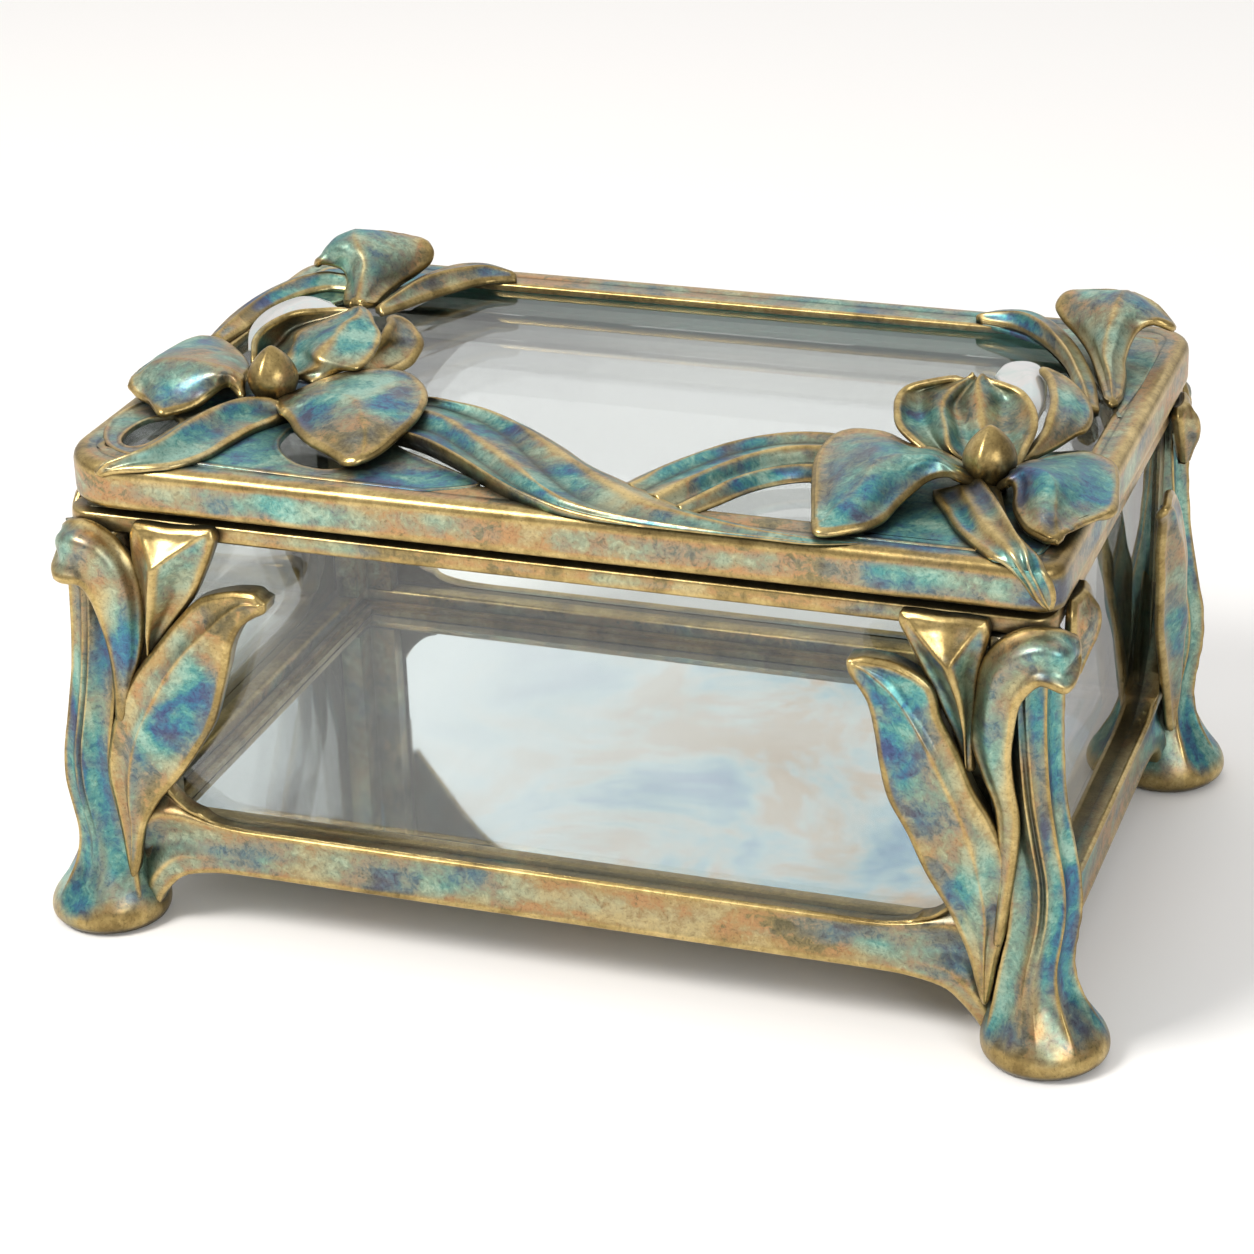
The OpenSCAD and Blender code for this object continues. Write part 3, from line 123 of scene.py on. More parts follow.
R_lily = [
  [[91, 15, 103], [92, 14, 103.6], [93, 15, 103.6], [93.5, 18, 103]],
  [[87, 27, 103.2], [89, 24, 104.8], [91, 24, 105], [92, 29, 103.4]],
  [[83, 38, 103.8], [85.5, 33, 106.2], [89, 30, 107], [91, 33, 105]],
  [[79, 45, 105], [84, 38, 108.4], [89, 35, 109], [91, 38, 107]],
  [[75, 49, 107], [84, 41, 110.6], [89, 39, 111.2], [92, 42, 108.8]],
  [[73, 52, 109], [83, 46, 112.2], [90, 43, 112.6], [95, 44, 110]],
  [[74, 56, 110.5], [83, 52, 113.2], [91, 49, 113], [98, 46, 109]],
  [[76, 59, 109.5], [84, 58, 111], [92, 56, 110], [99.5, 50, 106]]]
L_stem_side = [
  [[-84, 46, 104], [-83, 43.5, 105], [-81, 40.5, 103]],
  [[-90, 47.5, 104], [-88, 43.5, 105.2], [-86, 40.5, 103]],
  [[-94.5, 44, 103.8], [-92, 40.5, 105], [-89.5, 37.5, 103]],
  [[-97, 36.5, 103.8], [-94.5, 34, 105], [-92, 32, 103]],
  [[-98.5, 27, 103.8], [-96, 25.5, 104.8], [-93.5, 24.5, 103]],
  [[-98.8, 16, 103.6], [-96.3, 15, 104.6], [-93.5, 14, 103]],
  [[-98, 5, 103.2], [-96.3, 4, 104], [-94.5, 3, 103]]]
L_stem_back = [
  [[-71, 30.5, 103.2], [-69.5, 29.5, 104], [-68.5, 28.5, 103]],
  [[-69.5, 36, 104.2], [-67.5, 34.5, 105.2], [-66, 33, 103]],
  [[-68, 43, 104.8], [-65.5, 41.5, 106], [-63, 40, 103]],
  [[-66, 50, 105], [-62.5, 48, 106], [-60, 45.5, 103]],
  [[-62.5, 56.5, 105], [-59, 53, 105.6], [-57, 50.5, 103]],
  [[-57, 59.5, 104.6], [-55.5, 57, 105], [-54, 54, 103]],
  [[-50, 58.5, 103.6], [-49.5, 57.3, 103.8], [-49, 56, 103]]]
R_stem_back = [
  [[55, 57.5, 103.2], [55.5, 56.3, 103.8], [56.5, 55.2, 103]],
  [[60, 58.5, 104.4], [61.5, 55.5, 105.2], [62.5, 53.5, 103]],
  [[66, 57.5, 105], [66, 53, 106], [67, 50.5, 103]],
  [[71.5, 53, 105], [71, 48, 106], [71.5, 45.5, 103]],
  [[76, 47, 104.8], [75, 42, 105.8], [75.5, 39.5, 103]],
  [[80, 40, 104.4], [79, 35, 105.4], [79.5, 32, 103]],
  [[84, 31, 104], [82.5, 27, 105], [82.5, 24, 103]],
  [[87.5, 21, 104], [86, 18, 104.8], [85, 15, 103]],
  [[90.5, 10, 103.6], [89, 8.5, 104.4], [87.5, 7, 103]]]
# leg ornament for a front right corner; the left side leaf and the rear left buds are mirrored from the right ones, the
# front left leaf is listed on its own
F_leaf_r = [
  [[86.5, -66, 15.5], [87.5, -66.5, 15.5], [88.5, -66, 15.5]],
  [[84.5, -66, 23], [87.5, -67, 23.5], [89.5, -66, 22]],
  [[81, -66, 31], [87.5, -67.5, 31], [91, -66.5, 29]],
  [[76.5, -66, 38.5], [86.5, -68, 38], [91.5, -67, 36]],
  [[73, -66, 46], [85, -69, 45.5], [91, -67, 44]],
  [[69.5, -66.5, 53], [82.5, -69, 52.5], [88.2, -67, 51]],
  [[68, -67, 60], [79.5, -69.5, 59.5], [84.6, -67.5, 57.5]],
  [[67, -67, 66.5], [76.6, -69.5, 65.5], [81.8, -67.5, 64.5]],
  [[66, -67.5, 72], [73, -69, 71.5], [78.4, -67.5, 71]],
  [[64.5, -68, 75.5], [69.5, -69, 76], [76.5, -67.5, 77]],
  [[63, -68, 77.5], [66, -69, 79], [71, -68, 80.5]],
  [[62.5, -68.5, 79], [63.5, -69, 80.5], [65.5, -68.5, 81.5]]]
F_leaf_l = [
  [[-88.5, -66, 15.5], [-89.5, -66.5, 15.5], [-90.5, -66, 15.5]],
  [[-86.5, -66, 24], [-88.5, -67, 23.5], [-91, -66, 22]],
  [[-83, -66, 30.5], [-88, -67.5, 31], [-91.5, -66.5, 29]],
  [[-78, -66, 36.5], [-86.5, -68, 38.5], [-92, -67, 36.5]],
  [[-73, -66, 43.5], [-83.5, -69, 46.5], [-90.5, -67, 45]],
  [[-69, -66.5, 50], [-79.5, -69, 54], [-87.5, -67.5, 52]],
  [[-66.5, -66.5, 57], [-75.5, -69.5, 60.5], [-84, -67.5, 58.5]],
  [[-64.5, -67, 63], [-71, -69.5, 66.5], [-79, -67.5, 65]],
  [[-63, -67.5, 68], [-66.5, -69, 71], [-73.5, -67.5, 71.5]],
  [[-60.5, -68, 72.5], [-62.5, -69, 75], [-68.5, -67.5, 76.5]],
  [[-57.5, -68, 75], [-59, -69, 77.5], [-62, -68, 79]],
  [[-55, -68.5, 76.5], [-55.5, -69, 78], [-57, -68.5, 79.5]]]
S_leaf = [
  [[100.5, 50, 15.5], [101, 51.2, 15.5], [100.5, 52.4, 15.5]],
  [[100.5, 46.5, 23], [102, 49.8, 23.5], [101, 52.8, 22]],
  [[100.5, 43, 30], [102.5, 48, 31], [101.5, 53.2, 29]],
  [[100.5, 38.5, 38], [103, 46, 38.5], [102, 53.4, 36]],
  [[100.5, 34, 46], [104, 43, 46], [102, 53, 45]],
  [[101, 30.5, 53], [104, 40, 53], [102, 52, 52]],
  [[101.5, 27.5, 60], [104.5, 36, 60], [102.5, 48.5, 58]],
  [[101.5, 25.5, 66.5], [104.5, 32, 66.5], [102.5, 44, 65]],
  [[102, 23.5, 72], [104, 28, 72], [102.5, 39, 71.5]],
  [[102.5, 21, 76], [104, 24.5, 76.5], [102.5, 33, 77]],
  [[102.5, 18.5, 78], [104, 21, 79.5], [103, 26, 80.5]],
  [[103, 16.5, 79], [104, 18, 80.5], [103.5, 20, 81.5]]]
B_bud = [
  [[82.5, 65.5, 62], [83.2, 67, 62.5], [84, 65.5, 62]],
  [[77, 66, 70], [81, 68.5, 72], [84, 65.5, 72]],
  [[71.5, 66, 77.5], [78, 69.5, 80], [84.4, 65.5, 80]],
  [[65, 66, 84], [75, 69.8, 85], [85.4, 65.5, 85.5]],
  [[58, 66, 87.5], [70, 69, 88], [86, 65.3, 88.5]],
  [[55, 66, 90], [68, 66.3, 91], [86, 65.2, 90.6]]]

# finer versions of some pieces, with every fold of the surface
R_standard_fine = [
  [[68, -26.5, 105], [70, -26.5, 104.6], [73, -28, 105.4], [74, -25, 104.8], [77, -24.5, 105.6], [80, -25, 105], [83, -27.5, 105.5]],
  [[65, -26.5, 107], [66.5, -23, 105.8], [70, -27, 107.5], [71, -20, 105.8], [75, -20, 107.5], [79, -18, 106.2], [83.5, -24.5, 107.5]],
  [[60, -23, 109], [62.5, -17.5, 107.5], [68, -22, 109.5], [69, -16, 107.8], [73.5, -16, 109.9], [77, -12, 108], [84, -19, 109.3]],
  [[58, -19, 110.5], [60.5, -12.5, 109], [66, -17, 111], [67.5, -11.5, 109.6], [72, -12, 111.8], [76, -8, 109.8], [83, -14, 110.8]],
  [[57, -13, 111.8], [60.5, -9.5, 110.8], [66, -13, 112.3], [68, -9.3, 111], [71, -9, 113], [75, -6.8, 111.4], [80.5, -9.5, 112]],
  [[61, -9.5, 112.8], [63.5, -8, 112.3], [67, -9.5, 113.2], [69, -7.6, 112.6], [70.5, -7, 113.7], [73, -6.2, 112.8], [76.5, -7.2, 113]],
  [[67, -6.8, 113.3], [68.2, -6.2, 113.4], [69.3, -6, 113.8], [70, -5.4, 113.6], [70.8, -5, 114.1], [71.8, -5.4, 113.8], [73, -5.8, 113.4]]]
LS = [  # strands of the left stems, back to front, from under the petal to where they melt into the rail
  [[-54, -24, 103.2], [-46, -21, 103.6], [-38, -19.8, 104], [-32, -21, 104], [-24, -23, 104], [-14, -29, 104], [-4, -37, 104], [4, -44, 103.8], [12, -49, 103.6], [19, -53, 103.4], [24, -56, 103.2], [30, -59, 103], [37, -61, 102.8], [44, -62.2, 102.6], [54, -63, 102.3]],
  [[-53, -26.5, 104.4], [-46, -23, 104.6], [-38, -21.2, 104.8], [-32, -22.6, 105], [-24, -25.4, 105.2], [-15, -31.2, 105.2], [-6, -39, 105.2], [2, -46, 105], [10, -52.4, 104.6], [17, -57, 104.2], [23, -60, 103.8], [30, -61.6, 103.4], [37, -62.6, 103], [44, -63.2, 102.6], [54, -63.6, 102.3]],
  [[-52, -28.6, 103.8], [-45, -25.4, 103.8], [-38, -22.8, 104], [-31, -24.6, 104], [-23, -29, 104], [-14, -37, 104], [-7, -45, 104], [0, -52.6, 103.8], [7, -58.6, 103.4], [14, -62, 103], [21, -63.4, 102.8], [29, -64, 102.6], [37, -64.2, 102.4], [45, -64.4, 102.3], [54, -64.4, 102.2]],
  [[-50.6, -33, 105], [-44, -30.6, 105.1], [-36, -29.6, 105.2], [-30, -31.8, 105.2], [-23, -37.6, 105.2], [-15, -44.6, 105.1], [-7, -52, 105], [-1, -57.6, 104.6], [5, -61.6, 104], [12, -63.8, 103.4], [20, -64.4, 102.9], [28, -64.8, 102.6], [37, -64.9, 102.3], [45, -64.9, 102.2], [54, -64.9, 102.1]],
  [[-50, -35.6, 103.9], [-43, -34.4, 104], [-36, -34.6, 104], [-29.6, -37, 104], [-22, -43, 104], [-14, -50, 103.9], [-7, -56, 103.7], [-1, -60, 103.4], [5, -62.8, 103], [12, -64.4, 102.7], [20, -65, 102.4], [28, -65.2, 102.2], [37, -65.2, 102.1], [45, -65.2, 102], [54, -65.2, 102]],
  [[-49.6, -38.6, 104.9], [-43, -39, 105], [-36, -40, 105], [-29, -43, 105], [-21, -48.4, 104.9], [-13, -54.6, 104.7], [-6, -59.4, 104.3], [0, -62.2, 103.8], [6, -64.2, 103.2], [13, -65.2, 102.7], [21, -65.5, 102.3], [29, -65.5, 102.1], [37, -65.5, 102], [45, -65.4, 102], [54, -65.4, 101.9]]]
RS = [  # strands of the right stems
  [[13, -50, 102.8], [14.4, -47, 103.2], [16.5, -43.5, 103.6], [20, -37, 103.8], [25.5, -29.2, 104], [32, -22.8, 104], [39, -19.4, 104], [47, -18.2, 103.8], [55, -20, 103.4], [63, -23, 103]],
  [[15, -51, 103.8], [17, -48, 104.2], [19, -44, 104.8], [22.4, -38, 105], [27.4, -30.6, 105.2], [33.4, -24.6, 105.2], [40, -21.2, 105.2], [47.6, -20.2, 105], [55.4, -21.8, 104.6], [63, -24.6, 104.2]],
  [[18, -53, 103.4], [19.6, -49.6, 103.8], [21.4, -46, 104], [24.6, -40, 104.2], [29, -33, 104.4], [34.4, -27.2, 104.4], [40.6, -24, 104.4], [48, -22.6, 104.2], [55.8, -24, 104], [63, -26.6, 103.6]],
  [[21.6, -55, 103.8], [23, -52.4, 104.2], [25.4, -48, 104.6], [28.6, -41.8, 104.8], [32.2, -35.6, 104.8], [36.6, -30.4, 104.8], [41.6, -27.4, 104.8], [48.6, -26, 104.6], [56, -27, 104.4], [63, -29, 104]],
  [[24, -56.2, 102.3], [25.6, -53.6, 102.4], [27.6, -49.6, 102.6], [30.4, -43.6, 102.6], [33.8, -37.6, 102.6], [38, -32.6, 102.6], [42.8, -29.6, 102.6], [49.2, -28.2, 102.6], [56.4, -29, 102.6], [63, -30.6, 102.6]],
  [[27, -58, 103.6], [28.8, -55, 104], [31, -51, 104.4], [33.6, -45.4, 104.6], [37.2, -40.4, 104.6], [41.4, -37, 104.6], [45.6, -35.4, 104.6], [51, -34.6, 104.4], [57, -35, 104.2], [63, -36, 104]],
  [[28.4, -59, 102.4], [30.4, -56.2, 102.5], [32.6, -52.2, 102.5], [35.2, -46.8, 102.5], [38.6, -42, 102.5], [42.6, -38.6, 102.5], [46.6, -37, 102.5], [51.6, -36.2, 102.5], [57.4, -36.6, 102.5], [63, -37.4, 102.5]]]
# column of a leg at the front right corner: height, middle x, middle y, radius
LEG = [[0.6, 98, -60.4, 11.2], [1.8, 98.2, -60.5, 12.1], [3.4, 98.2, -60.5, 12.3], [5.2, 98, -60.5, 11.9], [7.8, 97.5, -60.4, 10.9],
       [10.6, 96.9, -60.4, 9.7], [14, 96.3, -60.4, 8.5], [18, 96, -60.5, 7.6], [22, 96.2, -60.7, 7.1], [27, 96.9, -60.9, 7], [33, 97.4, -61, 7.2], [40, 97, -61, 7.2],
       [48, 95.4, -60.9, 7.2], [56, 94, -60.7, 7.2], [64, 93.2, -60.4, 7.2], [72, 92.8, -60.1, 7.2], [80, 92.8, -59.9, 7.2], [87.5, 93, -60, 7.2]]
SPEAR_R = [  # the long blade from under the right bud, over the corner of the lid
  [[70, -38, 103.2], [73, -37.5, 104], [77.5, -35.5, 105.2], [79, -36, 104.6], [81.5, -35.5, 104]],
  [[71.5, -41.5, 103.4], [75, -42.5, 104.2], [79.5, -40, 106.2], [81.2, -41, 104.9], [83.4, -41, 104]],
  [[74.6, -46.8, 103.4], [78, -48, 104.3], [82.6, -46, 106.6], [84, -47, 105.2], [85.6, -47, 104]],
  [[78.2, -53.7, 103.3], [81.5, -55, 104.4], [86.4, -53.4, 106.6], [87.4, -54, 105.2], [88.6, -53.6, 103.8]],
  [[83, -60, 103.2], [86, -60.6, 104.3], [90, -60, 106], [91, -60, 104.9], [92, -58.6, 103.6]],
  [[87.4, -64.4, 103], [89.8, -64.9, 103.9], [93, -64.6, 105], [94.2, -63.9, 104.2], [95.3, -62.8, 103.2]],
  [[90.5, -65.6, 101.7], [92.2, -66.2, 101.9], [94.4, -66.9, 102.6], [95.6, -66.4, 102.2], [96.9, -65.5, 101.9]],
  [[93.2, -65.5, 98.8], [94.4, -66.3, 98.9], [96, -66.9, 99.4], [97, -66.4, 99.2], [98.4, -65.5, 99]],
  [[95.2, -65.4, 96], [96, -66, 96], [97.4, -66.5, 96.2], [98, -66.1, 96.3], [98.9, -65.4, 96.5]],
  [[97.4, -65.3, 94.5], [97.7, -65.5, 94.5], [98, -65.7, 94.5], [98.2, -65.5, 94.5], [98.5, -65.3, 94.6]]]
SPEAR_L = [  # the blade from under the left bud to the rounded corner
  [[-72, -29.5, 104], [-70, -30.5, 104.6], [-66.5, -32, 105.6], [-64.5, -32.5, 104.8], [-62, -33, 104]],
  [[-76.5, -31, 103.8], [-74.6, -32.6, 104.6], [-71.5, -35.2, 106.2], [-68.5, -36, 104.8], [-64.5, -37, 103.6]],
  [[-79.6, -35.5, 103.5], [-77.6, -37.6, 104.4], [-74.8, -41, 106.2], [-71.5, -41.6, 104.7], [-67, -42, 103.4]],
  [[-81.6, -43, 103.3], [-79.6, -45, 104.2], [-76.8, -48.6, 106], [-73.4, -49, 104.6], [-68.6, -49.5, 103.3]],
  [[-82.4, -51, 103.2], [-80.6, -53, 104], [-77.9, -56, 105.6], [-74.6, -56.4, 104.4], [-70, -57, 103.2]],
  [[-83.4, -57, 103], [-82, -58.6, 103.7], [-80, -61, 104.9], [-77.4, -61.6, 103.9], [-73.8, -62.6, 103]],
  [[-85.6, -61.3, 102.8], [-84.6, -62.4, 103.3], [-83.4, -63.8, 103.9], [-81.6, -64.4, 103.2], [-79.2, -65, 102.6]],
  [[-88.4, -63.4, 102.3], [-87.8, -64.3, 102.5], [-87, -65.2, 102.4], [-86, -65.6, 101.9], [-84.6, -65.7, 101.5]],
  [[-89.8, -64.6, 101], [-89.5, -65.1, 100.8], [-89, -65.5, 100.6], [-88.6, -65.6, 100.4], [-88, -65.6, 100.2]]]
BUD_L = [  # front face of the left front bud, five points across each row, from the tip up
  [[-81.8, -65.4, 63], [-81.5, -66, 63], [-81.1, -66.6, 63], [-80.6, -66, 63], [-80.2, -65.4, 63.2]],
  [[-82.1, -65.6, 68.5], [-81.2, -66.6, 68.5], [-79.8, -68.6, 68.6], [-78.2, -66.8, 68.8], [-76.7, -65.8, 69]],
  [[-82.4, -66, 74.5], [-80.9, -67, 74.6], [-78.2, -70, 74.8], [-74.8, -67.2, 75.4], [-71.4, -66, 76.2]],
  [[-82.8, -66, 80], [-80.6, -67.6, 80], [-76.8, -71, 80.4], [-72.6, -67.8, 81], [-68.4, -66.2, 81.8]],
  [[-82.8, -66.2, 85], [-80, -68.4, 84.6], [-75.7, -71.4, 84.6], [-71, -68.4, 85.4], [-66.2, -66.4, 86.6]],
  [[-82.5, -66.4, 88.4], [-79.4, -67.8, 88], [-75, -69.2, 87.8], [-70, -68, 88.4], [-65.4, -66.6, 89.3]],
  [[-81.8, -66.2, 90.6], [-78.6, -66.8, 90.8], [-74.2, -67, 90.8], [-69.8, -66.8, 90.9], [-65.8, -66.3, 91]]]
BUD_R = [  # the same at the right front leg
  [[82.4, -64.9, 60.6], [82.9, -65.3, 60.6], [83.5, -65.7, 60.6], [84.1, -65.3, 60.6], [84.6, -64.9, 60.6]],
  [[81.8, -65.4, 66], [82.6, -66, 66], [83.4, -66.6, 66], [84, -66, 66], [84.6, -65.4, 66]],
  [[79.6, -65.8, 71.4], [81.4, -66.8, 71.2], [83.6, -68.6, 71], [84.2, -67, 71], [84.8, -65.6, 71]],
  [[77, -66, 77], [79.4, -67, 76.8], [83, -69.8, 76.4], [84.2, -67.6, 76.2], [85, -65.8, 76]],
  [[74.6, -66.2, 82], [77.6, -67.8, 81.6], [81.8, -71, 81.4], [84, -68, 81.2], [85.6, -66, 81]],
  [[72.6, -66.4, 86], [76, -68.4, 85], [80.8, -71.4, 84.6], [84, -68.6, 84.8], [86.6, -66.2, 85.4]],
  [[71.4, -66.6, 88.8], [75, -68, 88], [79.8, -69.2, 87.6], [83.8, -68, 87.9], [87, -66.4, 88.4]],
  [[71.4, -66.3, 90.6], [74.6, -66.8, 90.8], [79, -67, 90.8], [83, -66.8, 90.8], [86.4, -66.2, 90.4]]]
FALL_LI = [  # inner petal of the left iris
  [[-65.5, -34, 105.4], [-63.5, -31.5, 106.3], [-62.5, -26, 105.8]],
  [[-63, -36.4, 105.6], [-59, -33, 107.6], [-60, -23, 107]],
  [[-61, -38, 105.4], [-54, -33, 108.4], [-56, -18.6, 107.6]],
  [[-59, -40, 105.2], [-50, -34, 108.8], [-50.6, -16.6, 108]],
  [[-56, -44, 105], [-46.5, -36.5, 108.6], [-43.6, -17.6, 108]],
  [[-52, -48, 104.8], [-43.4, -41.5, 108.2], [-37, -25, 107.6]],
  [[-47.4, -51, 104.6], [-40.6, -46.5, 107.4], [-34.6, -35, 106.8]],
  [[-43.6, -53.4, 104.3], [-39, -50.6, 106], [-35.2, -44.6, 105.8]],
  [[-41, -55.4, 104], [-38.5, -54.2, 104.6], [-36.6, -51.6, 104.6]]]
SIDE_BUD = [  # small bud on the side face, behind a front leg
  [[100.2, -53.4, 76.4], [101, -53.8, 76.4], [100.2, -54.4, 76.6]],
  [[100.6, -50, 80], [102.4, -51.6, 80], [100.4, -55, 80]],
  [[100.8, -47, 83.6], [103.6, -49.8, 83.6], [100.5, -55.6, 83.4]],
  [[100.8, -45, 87], [103.8, -49, 86.6], [100.5, -56, 86.6]],
  [[100.7, -44, 89.6], [103, -48.8, 89], [100.4, -55.6, 89.2]],
  [[100.5, -45, 91], [101, -49, 91.2], [100.2, -54, 91]]]
HOOD_R = [  # front right calyx, from its tail on the column up and round to the lip: back edge, crest, front edge
  [[89.4, -66.4, 25.7], [89.9, -67, 26.1], [90.5, -66.8, 25.9]],
  [[90, -66.6, 35.6], [91, -67.6, 36.2], [92, -67.4, 36.1]],
  [[90, -66.6, 45.2], [91.6, -67.8, 46.1], [93.2, -67.5, 46]],
  [[89.4, -66.6, 53.6], [91.5, -68.4, 54], [93.4, -67.8, 53]],
  [[86.6, -66.2, 60.6], [90, -69, 60.8], [92.4, -68.2, 59.4]],
  [[84.4, -66, 67.7], [88.8, -69.6, 67.6], [91.8, -68.6, 65.6]],
  [[85, -66, 74.8], [88.8, -70.2, 74], [92.2, -69.4, 70.8]],
  [[86, -66, 82.2], [89.9, -70.2, 81], [93.2, -70.2, 76.8]],
  [[88.8, -66, 86.8], [92.2, -70.6, 85], [95.4, -70.8, 80.5]],
  [[92.6, -65.8, 89.6], [95.2, -70.8, 87.4], [97.6, -71.2, 82.4]],
  [[96.6, -65.4, 90.6], [98.6, -70.6, 88.4], [100, -71.4, 82.3]],
  [[100, -64.6, 90.2], [101.6, -69.6, 87.8], [102.4, -70.8, 81.5]],
  [[101.8, -62.6, 88.6], [103, -67, 86.6], [103.6, -68.6, 82]],
  [[102.2, -59.6, 87.6], [103.2, -62.6, 86], [103.8, -64, 82.4]]]
HOOD_L = [  # front left calyx, seen more from its side
  [[-86.9, -66.8, 49.7], [-87.6, -67.8, 49.4], [-89, -67.4, 48.3]],
  [[-85, -66.8, 57.4], [-86, -68.6, 58], [-88.4, -68, 58.2]],
  [[-82.9, -66.8, 63.1], [-84.6, -69.2, 64.6], [-88.5, -68.6, 64.8]],
  [[-81.5, -66.6, 70.4], [-84.5, -69.6, 71.6], [-89.4, -69.2, 70.6]],
  [[-81.3, -66.4, 76.6], [-84.8, -70, 78], [-90.4, -69.8, 75]],
  [[-82.5, -66.2, 82.2], [-86.4, -70.4, 82.8], [-91.8, -70.4, 78.2]],
  [[-85.3, -66, 86.4], [-88.8, -70.6, 86], [-93.3, -70.8, 79.3]],
  [[-88.7, -65.8, 89], [-91.4, -70.6, 87.4], [-95, -71, 79.4]],
  [[-92.6, -65.4, 90.2], [-94.4, -70, 87.6], [-97, -70.6, 79.4]],
  [[-96.4, -64.6, 89.6], [-97.6, -68.4, 86.6], [-98.8, -69.4, 79.6]],
  [[-98.8, -62.6, 88], [-99.6, -65.6, 85.4], [-100.2, -66.8, 80.4]],
  [[-99.3, -60.4, 87.2], [-100.1, -62.8, 84.8], [-100.6, -63.8, 81]]]
# end of a bottom rail, from the leg to the middle: distance from the middle, height and depth of
# window edge, valley, upper ridge, face, lower ridge and underside
RAIL_END = [
  [[93.5, 54, -0.4], [93.5, 38, -1.6], [93, 20, -0.8], [92.6, 13, -2.4], [92.2, 6, -1.8], [91.6, 1.6, -2.6]],
  [[90, 49.6, 0], [90, 36, -1.2], [89.4, 22, 0.6], [88.8, 15, -1.2], [88.2, 8.4, 0.0], [87.6, 3.6, -1.2]],
  [[87.4, 42, 0], [87.2, 33, -1.3], [86.8, 24.6, 1.1], [86.4, 18, -0.9], [86, 11.6, 0.8], [85.4, 7, -0.4]],
  [[84.4, 35.4, 0], [84, 31, -1.1], [83.4, 26.4, 1.1], [83.2, 20.4, -0.7], [83, 15, 1.0], [82.6, 10.4, 0]],
  [[81, 30.6, 0], [80.4, 28.8, -0.7], [79.6, 26.6, 1.0], [79.8, 21.4, -0.5], [80, 17, 0.8], [80, 12.6, 0]],
  [[76.6, 27.2, 0], [76, 26.8, -0.1], [75.4, 25.6, 0.7], [75.8, 21, -0.2], [76, 17.4, 0.4], [76.4, 13.9, 0]],
  [[70, 25.3, 0], [70, 25.1, 0.2], [69.6, 24.5, 0.4], [69.8, 20.4, 0], [70, 17.4, 0.1], [70.4, 14.8, 0]],
  [[62, 24.7, 0], [62, 24.5, 0.15], [62, 24.1, 0.2], [62, 20.2, 0], [62, 17.2, 0], [62, 15, 0]]]

# the stems run out to a point on the rail
for k, c in enumerate(LS): c.append([62, -62.6 - 0.08 * k, 102.05])
# roots of the petals, drawn in under the bud
R_inner_fall[0] = [[76.6, -31, 104.6], [76.9, -33.4, 105.2], [77.4, -35.6, 104.4]]
R_outer_fall[0] = [[81.6, -29.4, 104.6], [82, -32.6, 105.2], [81.4, -35.6, 104.4]]
FALL_LI[0] = [[-66.8, -30, 104.6], [-65.8, -28.4, 105.2], [-65.6, -25.8, 104.6]]

# ---------------------------------------------------------------- mesh helpers
def spline(P, n):
    P = np.asarray(P, float); k = len(P); out = []
    for i in range(k - 1):
        a, b, c, d = P[max(i - 1, 0)], P[i], P[i + 1], P[min(i + 2, k - 1)]
        for j in range(n):
            t = j / n
            out.append(.5 * (2 * b + (c - a) * t + (2 * a - 5 * b + 4 * c - d) * t * t + (3 * b - a - 3 * c + d) * t ** 3))
    out.append(P[-1])
    return np.array(out)

def grid(rows, n, m):
    A = np.array([spline(r, m) for r in rows])
    R, M, _ = A.shape
    return spline(A.reshape(R, -1), n).reshape(-1, M, 3)

def unit(v):
    l = np.linalg.norm(v, axis=-1, keepdims=True)
    return v / np.maximum(l, 1e-9)

def normals(G, up):
    n = unit(np.cross(np.gradient(G, axis=0), np.gradient(G, axis=1)))
    if (n @ np.asarray(up, float)).sum() < 0: n = -n
    for _ in range(2):
        p = np.pad(n, ((1, 1), (1, 1), (0, 0)), mode="edge")
        n = unit(p[1:-1, 1:-1] * 2 + p[:-2, 1:-1] + p[2:, 1:-1] + p[1:-1, :-2] + p[1:-1, 2:])
    return n

def loop_of(nr, nc):
    return ([(0, j) for j in range(nc)] + [(i, nc - 1) for i in range(1, nr)] +
            [(nr - 1, j) for j in range(nc - 2, -1, -1)] + [(i, 0) for i in range(nr - 2, 0, -1)])

def edge_distance(G, loop):
    B = np.array([G[i, j] for i, j in loop])
    return np.sqrt(((G[:, :, None, :] - B[None, None]) ** 2).sum(-1)).min(-1)

def mesh_object(name, V, Fc, mat, body, nodes=(), wear_and_light=None, dirt_and_shade=None, smooth=True, slot=None, angle=None):
    me = bpy.data.meshes.new(name)
    me.from_pydata([tuple(float(c) * MM for c in v) for v in V], [], [tuple(int(i) for i in f) for f in Fc])
    me.update()
    for key, vals in (("wear_and_light", wear_and_light), ("dirt_and_shade", dirt_and_shade)):
        at = me.attributes.new(key, "FLOAT", "POINT")
        at.data.foreach_set("value", np.asarray(vals if vals is not None else np.zeros(len(V)), np.float32))
    o = bpy.data.objects.new(name, me)
    bpy.context.scene.collection.objects.link(o)
    bm = bmesh.new(); bm.from_mesh(me)
    bmesh.ops.remove_doubles(bm, verts=bm.verts, dist=1e-7)
    bmesh.ops.recalc_face_normals(bm, faces=bm.faces)
    bm.to_mesh(me); bm.free()
    me.materials.append(mat)
    for p in me.polygons: p.use_smooth = smooth
    if angle is not None: me.set_sharp_from_angle(angle=math.radians(angle))
    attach(o, body)
    if nodes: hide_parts(*nodes)
    return o

